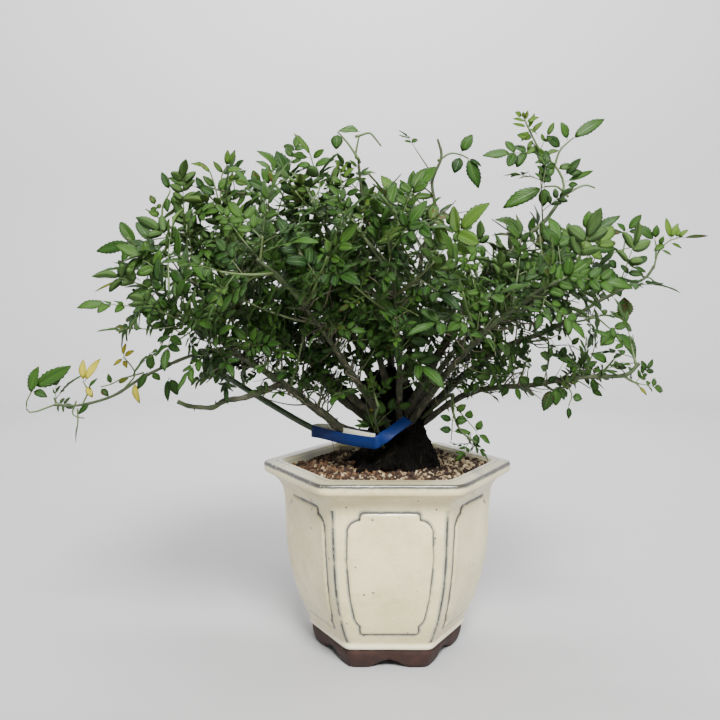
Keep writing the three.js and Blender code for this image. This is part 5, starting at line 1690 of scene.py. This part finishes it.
# %% Table of shoots set one by one
FIRST_BY_HAND = 9000  # they are numbered from here on
HAND_SHOOTS = [
    ("top_right", 8, 1.15, [[(143, 371, 6), (143, 383), (136, 395), (124, 407), (114, 425), (110, 434)],
      [(136, 395), (140, 407), (149, 416)], [(146, 372), (157, 378), (163, 379), (169, 377)],
      [(145, 372), (138, 378), (128, 378)]],
     [(149, 416, 174, 434, 17), (150, 416, 166, 424, 8), (146, 415, 141, 429, 28),
      (141, 409, 129, 418, 28), (125, 405, 79, 406, 20, 0, 0, 2), (128, 378, 95, 363, 19),
      (128, 379, 126, 395, 30), (128, 378, 127, 363, 30), (144, 387, 156, 400, 20),
      (146, 388, 157, 391, 30), (145, 382, 167, 391, 10), (146, 379, 154, 380, 27),
      (136, 394, 128, 385, 30), (124, 408, 134, 429, 20, 30, 0, 1), (114, 424, 118, 436, 15, 70),
      (112, 430, 102, 433, 15, 80), (113, 426, 101, 428, 12, 70), (110, 433, 109, 437, 30, 70),
      (116, 420, 124, 430, 20, 40), (118, 416, 113, 408, 20, 40), (130, 401, 117, 409, 20, 20),
      (109, 434, 103, 437, 30, 80), (113, 425, 121, 421, 25, 60), (112, 429, 121, 434, 22, 70),
      (118, 417, 105, 419, 25, 40), (122, 411, 112, 404, 25, 30), (127, 404, 138, 407, 25, 30),
      (133, 398, 120, 398, 25, 20), (138, 392, 150, 396, 25, 10), (115, 423, 108, 415, 22, 60),
      (111, 431, 113, 438, 20, 90)]),
    ("top_middle", -18, 1.1, [[(-24, 396, -17), (-26, 399), (-23, 415)],
      [(-25, 398), (-32, 408), (-40, 417)], [(-23, 414), (-15, 416), (-10, 411), (-6, 406)]],
     [(-22, 417, -38, 420, 26), (-40, 416, -41, 404, 36), (-22, 386, -10, 386, 17, 30),
      (-24, 389, -30, 395, 20, 20)]),
    ("top_twig", -20, 1, [[(41, 396, -20), (48, 400), (56, 399), (62, 396)]],
     [(56, 400, 64, 414, 26), (56, 398, 51, 385, 31), (61, 397, 71, 375, 25), (62, 396, 72, 391, 17)]),
    ("far_right", 30, 0.9, [[(227, 315, 30), (230, 326), (238, 335), (246, 338), (250, 339)],
      [(220, 305, 30), (224, 304), (231, 298)], [(228, 324), (228, 331), (227, 336)]],
     [(250, 338, 271, 341, 7), (227, 336, 211, 350, 25), (227, 337, 227, 348, 30),
      (230, 332, 233, 339, 30), (240, 337, 235, 354, 15, 90), (245, 338, 246, 346, 30, 80),
      (240, 334, 249, 330, 15, 40), (240, 337, 244, 350, 20, 90), (246, 338, 253, 345, 22, 80),
      (236, 333, 226, 328, 25, 20), (232, 328, 240, 324, 28, 10)]),
    ("far_left", -50, 0.8, [
      [(-256, 206, -50), (-264, 203, -50), (-270, 201), (-276, 201), (-277, 208), (-274, 214), (-272, 218)]],
     [(-272, 219, -243, 235, 18), (-274, 214, -268, 235, 19), (-272, 217, -261, 214, 30)]),
    ("left", -2, 0.8, [[(-162, 331, 5), (-170, 336), (-175, 337)]],
     [(-175, 337, -236, 327, 17, 0, 0, 2)]),
    ("right", 2, 1, [[(155, 267, 18), (163, 269, 9), (171, 271), (179, 265), (184, 261)],
      [(183, 261), (190, 265), (194, 269)]],
     [(194, 269, 193, 287, 36), (184, 262, 196, 267, 28), (185, 262, 175, 249, 33),
      (188, 260, 206, 241, 20)]),
    ("trailing", -50, 0.75, [[(-240, 206), (-242, 200), (-239, 197), (-233, 196)],
      [(-200, 221), (-194, 228), (-195, 234), (-202, 243)], [(-233, 209), (-230, 216), (-233, 224)],
      [(-190, 230), (-204, 226), (-212, 222), (-220, 220)], [(-238, 200), (-238, 194), (-239, 187)]],
     [(-233, 224, -233, 240, 20, 0, 100), (-232, 224, -222, 241, 15, 0, 100),
      (-231, 221, -226, 213, 25, 0, 90), (-202, 243, -200, 253, 22, 0, 80),
      (-202, 243, -194, 248, 20, 0, 90), (-202, 242, -209, 237, 18, 0, 70),
      (-202, 241, -199, 235, 25, 0, 70), (-194, 224, -192, 208, 17, 0, 100), (-184, 232, -191, 219, 20),
      (-238, 194, -240, 178, 7), (-228, 208, -237, 200, 18), (-230, 218, -222, 227, 22),
      (-212, 222, -213, 230, 30), (-220, 219, -214, 214, 30), (-182, 232, -180, 245, 30),
      (-176, 234, -166, 239, 32), (-168, 227, -170, 210, 17), (-167, 227, -161, 215, 26),
      (-181, 231, -174, 226, 30), (-207, 223, -199, 227, 25, 0, 20)]),
    ("upper_left", 0, 1, [[(-162, 331, 5), (-175, 338), (-184, 350), (-189, 355), (-196, 359)],
      [(-183, 350), (-182, 362), (-177, 371), (-176, 374)],
      [(-130, 352, 10), (-140, 365), (-148, 373), (-155, 377)]],
     [(-176, 374, -182, 388, 20), (-174, 372, -169, 359, 30), (-155, 377, -176, 384, 15),
      (-185, 355, -191, 370, 28, 20, 0, 1), (-178, 369, -178, 357, 30), (-147, 372, -163, 361, 26),
      (-148, 373, -154, 384, 25), (-144, 368, -159, 369, 26), (-184, 354, -193, 357, 30, 20)]),
    ("lower_left", -30, 0.8, [[(-172, 284, -66), (-182, 291, -46), (-194, 298), (-208, 302)],
      [(-184, 292, -42), (-189, 300), (-186, 308)]],
     [(-208, 302, -229, 294, 5, 0, 30), (-194, 301, -210, 316, 25, 0, 0, 1),
      (-188, 302, -174, 311, 26, 0, 0, 1), (-200, 299, -210, 307, 30), (-195, 297, -202, 287, 25, 0, 0, 1),
      (-186, 308, -188, 315, 35)]),
    ("top_left", -8, 0.9, [
      [(-133, 317, 14), (-136, 336, 4), (-134, 354), (-138, 375), (-144, 391), (-153, 395)],
      [(-134, 346, -2), (-134, 360), (-133, 383), (-129, 392)]],
     [(-144, 391, -156, 395, 12, 80), (-141, 386, -150, 396, 16, 60), (-129, 392, -127, 404, 20, 35),
      (-129, 392, -122, 403, 17, 40), (-131, 388, -117, 391, 20, 20), (-131, 386, -139, 395, 20, 40),
      (-133, 383, -113, 378, 22, 40, 0, 1), (-137, 373, -124, 384, 25), (-138, 375, -147, 384, 22, 15),
      (-137, 369, -150, 376, 25), (-135, 364, -120, 373, 25, 0, 0, 1)]),
    ("top_row", -14, 0.8, [[(-94, 358, 12), (-95, 360), (-93, 373), (-79, 382)],
      [(-98, 360, 11), (-100, 365), (-100, 373), (-100, 379)]],
     [(-95, 372, -110, 380, 26), (-94, 376, -99, 389, 28), (-102, 376, -107, 387, 30),
      (-79, 382, -88, 402, 27), (-90, 376, -94, 388, 20, 30), (-83, 380, -68, 377, 25, 0, 0, 1),
      (-100, 372, -113, 369, 25, 0, 0, 1), (-86, 378, -76, 369, 26)]),
    ("top_peak", -18, 0.8, [[(-59, 362, -34), (-54, 375), (-59, 391), (-62, 401)]],
     [(-61, 398, -72, 416, 15, 25), (-62, 397, -76, 399, 15), (-60, 396, -51, 403, 22, 15),
      (-59, 390, -44, 397, 22), (-60, 391, -71, 392, 25), (-57, 386, -45, 382, 25, 0, 0, 1),
      (-58, 388, -67, 381, 26)]),
    ("top_tuft", -25, 0.8, [[(-20, 360, -5), (-33, 360), (-37, 375), (-38, 386)]],
     [(-38, 386, -41, 393, 15, 70), (-38, 383, -33, 391, 15, 60), (-37, 380, -28, 388, 20, 40),
      (-36, 376, -46, 381, 22, 20), (-36, 374, -25, 380, 22, 20), (-35, 370, -44, 369, 25),
      (-34, 367, -24, 371, 25)]),
    ("top_sprig", -20, 0.8, [[(-17, 350, 2), (-4, 352, -10), (6, 355), (16, 366), (21, 373)]],
     [(21, 373, 36, 389, 23), (18, 366, 35, 368, 16), (17, 368, 9, 379, 20), (17, 370, 19, 386, 24),
      (14, 364, 2, 373, 22), (10, 359, -7, 374, 24, 0, 0, 1), (11, 360, 38, 354, 13)]),
    ("round_sprig", -15, 0.5, [
      [(31, 331, -16), (38, 335), (41, 340), (48, 344), (57, 341), (62, 332), (61, 320)]],
     [(47, 344, 49, 354, 30), (42, 343, 41, 350, 35), (57, 342, 66, 348, 28), (58, 340, 52, 332, 38),
      (46, 343, 51, 339, 35), (55, 324, 75, 328, 19), (41, 339, 33, 343, 30)]),
    ("shoulder", 12, 0.8, [[(110, 335, 5), (98, 344), (86, 352)],
      [(126, 346, 5), (139, 346), (146, 344), (150, 338)],
      [(153, 315, -42), (147, 316, -16), (152, 328), (164, 337)]],
     [(114, 342, 91, 354, 26), (118, 340, 119, 353, 25), (132, 342, 123, 332, 27),
      (151, 328, 149, 348, 20), (164, 342, 166, 358, 37), (152, 328, 167, 338, 30, 0, 12),
      (165, 338, 192, 343, 17), (162, 328, 189, 328, 16), (108, 332, 100, 341, 30),
      (151, 335, 142, 325, 26)]),
    ("right_sprig", 28, 0.8, [[(186, 288, 25), (178, 303, 27), (184, 319), (195, 327), (207, 330)],
      [(200, 329), (201, 336), (202, 343)]],
     [(202, 343, 194, 350, 28), (203, 344, 213, 357, 23), (203, 343, 212, 344, 25),
      (185, 314, 199, 290, 26), (182, 317, 169, 294, 28), (187, 320, 193, 313, 35)]),
    ("low_right", -60, 0.7, [[(129, 227), (136, 216), (134, 207)], [(136, 228), (142, 225), (150, 220)],
      [(170, 230), (179, 227), (186, 222), (192, 215)], [(157, 229), (161, 233), (163, 238)]],
     [(121, 220, 115, 204, 28), (124, 221, 124, 208, 30), (126, 223, 130, 212, 20),
      (134, 207, 134, 198, 25), (136, 214, 143, 213, 42), (150, 220, 158, 215, 27),
      (163, 239, 151, 247, 27), (164, 238, 176, 236, 23), (146, 229, 148, 236, 42),
      (150, 228, 155, 218, 30), (186, 222, 191, 216, 15, 0, 40), (106, 223, 114, 228, 40),
      (105, 223, 97, 228, 40), (117, 225, 124, 229, 30), (88, 223, 84, 215, 32), (94, 222, 97, 212, 20)]),
    ("right_arc", -20, 0.6, [[(118, 254, 17), (124, 247, 0), (135, 250), (144, 250), (152, 246)]],
     [(152, 246, 160, 236, 26), (141, 250, 136, 240, 28), (145, 250, 150, 256, 28)]),
    ("drooping", -62, 0.6, [[(48, 212, -36), (48, 206), (47, 196), (46, 181)],
      [(49, 207, -56), (52, 203), (58, 196), (65, 188)]],
     [(47, 196, 38, 200, 28), (48, 196, 57, 197, 42), (47, 189, 38, 190, 32), (47, 188, 60, 189, 25),
      (49, 203, 56, 208, 32), (58, 197, 60, 204, 40), (65, 188, 68, 196, 33), (65, 187, 64, 177, 27),
      (66, 186, 75, 180, 25)]),
    ("basal", -26, 0.5, [[(-5, 178, -14), (-11, 183), (-16, 197), (-18, 209)],
      [(-5, 178, -14), (-11, 183), (-4, 193), (6, 201)]],
     [(-13, 185, -24, 192, 13), (-13, 186, -19, 196, 13), (-12, 186, -14, 197, 13, 15),
      (-11, 186, -7, 196, 13), (-11, 185, 0, 191, 13), (-14, 185, -26, 188, 13), (-18, 209, -12, 214, 20),
      (-18, 208, -23, 212, 20), (-16, 199, -10, 201, 28, 0, 90), (-4, 193, -8, 207, 27),
      (1, 197, 4, 209, 27), (6, 201, 18, 204, 24)]),
]


# %% Make the shoots set one by one
def hand_stem(depth, line):
    """A stem's points in metres, with one more put before them, inside what carries the stem."""
    points = np.array([(x, *own, z) if own else (x, depth, z) for x, z, *own in line], float) * MM
    return np.vstack([points[0] - 3.5 * MM * unit(points[1] - points[0]), points])


def hand_leaf(depth, row, number, j):
    """A leaf from its foot to its tip, a little nearer than its stem, facing the front."""
    x, z, tip_x, tip_z, wide, youth, yellow, pairs = (*row, 0, 0, 0)[:8]
    base = np.array([x, depth, z]) * MM
    axis = np.array([tip_x, depth - 3, tip_z]) * MM - base
    length = np.linalg.norm(axis)
    axis = axis / length
    face = facing(1.7 * FRONT, axis, number, j)
    return new_leaf(base, axis, face, length, 10 * number + j, pairs=pairs, wide=wide / 100,
                    youth=youth / 100, yellow=yellow / 100)


def hand_shoot(i, name, depth, foot, lines, placed):
    """One row as a piece: its stems as tubes that thin to their ends, then its leaves."""
    paths = np.stack([along_path(hand_stem(depth, line), np.linspace(0, 1, 14))[0] for line in lines])
    radii = np.broadcast_to(np.linspace(foot, 0.6 * foot, 14) * MM, paths.shape[:2])
    some = [hand_leaf(depth, row, FIRST_BY_HAND + i, j) for j, row in enumerate(placed)]
    nodes = [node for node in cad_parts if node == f"shoot_{name}"]
    stem_tubes = tubes(paths, radii, 7, material=2, tone=0.5, youth=0.45)
    piece(f"edge_shoot_{name}", [stem_tubes] + foliage_parts(some), FOLIAGE, nodes)


for i, row in enumerate(HAND_SHOOTS):
    hand_shoot(i, *row)

# %% [markdown]
# ## Floor and light
# The plant stands on a plain pale floor that curves up all round into a pale wall, like the paper
# sweep of a photographer's table, so that no edge shows from any side. A soft lamp high in front
# does most of the work, a weak one hangs above, and a third lights the wall behind the plant. The
# bowl throws their light back from all round, and the sky lends a little through its open top.

# %% Floor
FLOOR_RADIUS = 1.7
WALL_TOP = 2.2
SWEEP = 0.7  # radius of the curve between floor and wall
FLOOR_GREY = (0.42, 0.42, 0.427)


def sweep_rings():
    """The floor and wall as rings: level out to the sweep, round a quarter turn, then straight up."""
    turn = np.linspace(0, 2 * np.pi, 96, endpoint=False)
    bend = np.linspace(0, np.pi / 2, 24)
    level = np.linspace(0.05, FLOOR_RADIUS, 10)
    radius = np.concatenate([level, FLOOR_RADIUS + SWEEP * np.sin(bend), [FLOOR_RADIUS + SWEEP]])
    height = np.concatenate([0 * level, SWEEP * (1 - np.cos(bend)), [WALL_TOP]])
    return np.stack([radius[:, None] * np.cos(turn), radius[:, None] * np.sin(turn),
                     height[:, None] + 0 * turn], axis=-1)


def make_floor():
    """The sweep as one smooth mesh with a closed middle, faces up and in."""
    rings = sweep_rings()
    rows, columns = rings.shape[:2]
    points = np.vstack([rings.reshape(-1, 3), [[0, 0, 0]]])
    j = np.arange(columns)
    middle = np.stack([np.full(columns, rows * columns), j, (j + 1) % columns], axis=1)
    sweep = part(points, [(grid_faces(rows, columns)[:, ::-1], 0), (middle, 0)])
    material, _, shader = new_material("floor", 0.8)
    shader["Base Color"].default_value = (*FLOOR_GREY, 1)
    new_object("floor", new_mesh("floor", [sweep], [material]))


def lamp(name, place_at, towards, size, power, colour=(1.0, 0.99, 0.97)):
    """A square soft lamp at a place, facing a point."""
    light = bpy.data.lights.new(name, "AREA")
    light.size = size
    light.energy = power
    light.color = colour
    made = new_object(name, light)
    made.location = place_at
    x, y, z = np.array(towards) - np.array(place_at)
    made.rotation_euler = (math.atan2(np.hypot(x, y), -z), 0, math.atan2(-x, y))


# %% Light
make_floor()
lamp("sky_lamp", (0.1, -0.2, 1.8), (0, 0, 0.25), 1.0, 14)
lamp("front_lamp", (0.24, -1.5, 1.72), (0, 0, 0.2), 0.7, 135)
lamp("wall_lamp", (0, 0.75, 1.9), (0, 2.4, 0.75), 0.7, 105, (1, 1, 1))
world = bpy.data.worlds.new("sky")
world.use_nodes = True
background = world.node_tree.nodes["Background"].inputs
background["Color"].default_value = (0.92, 0.95, 1.0, 1)
background["Strength"].default_value = 0.1
bpy.context.scene.world = world
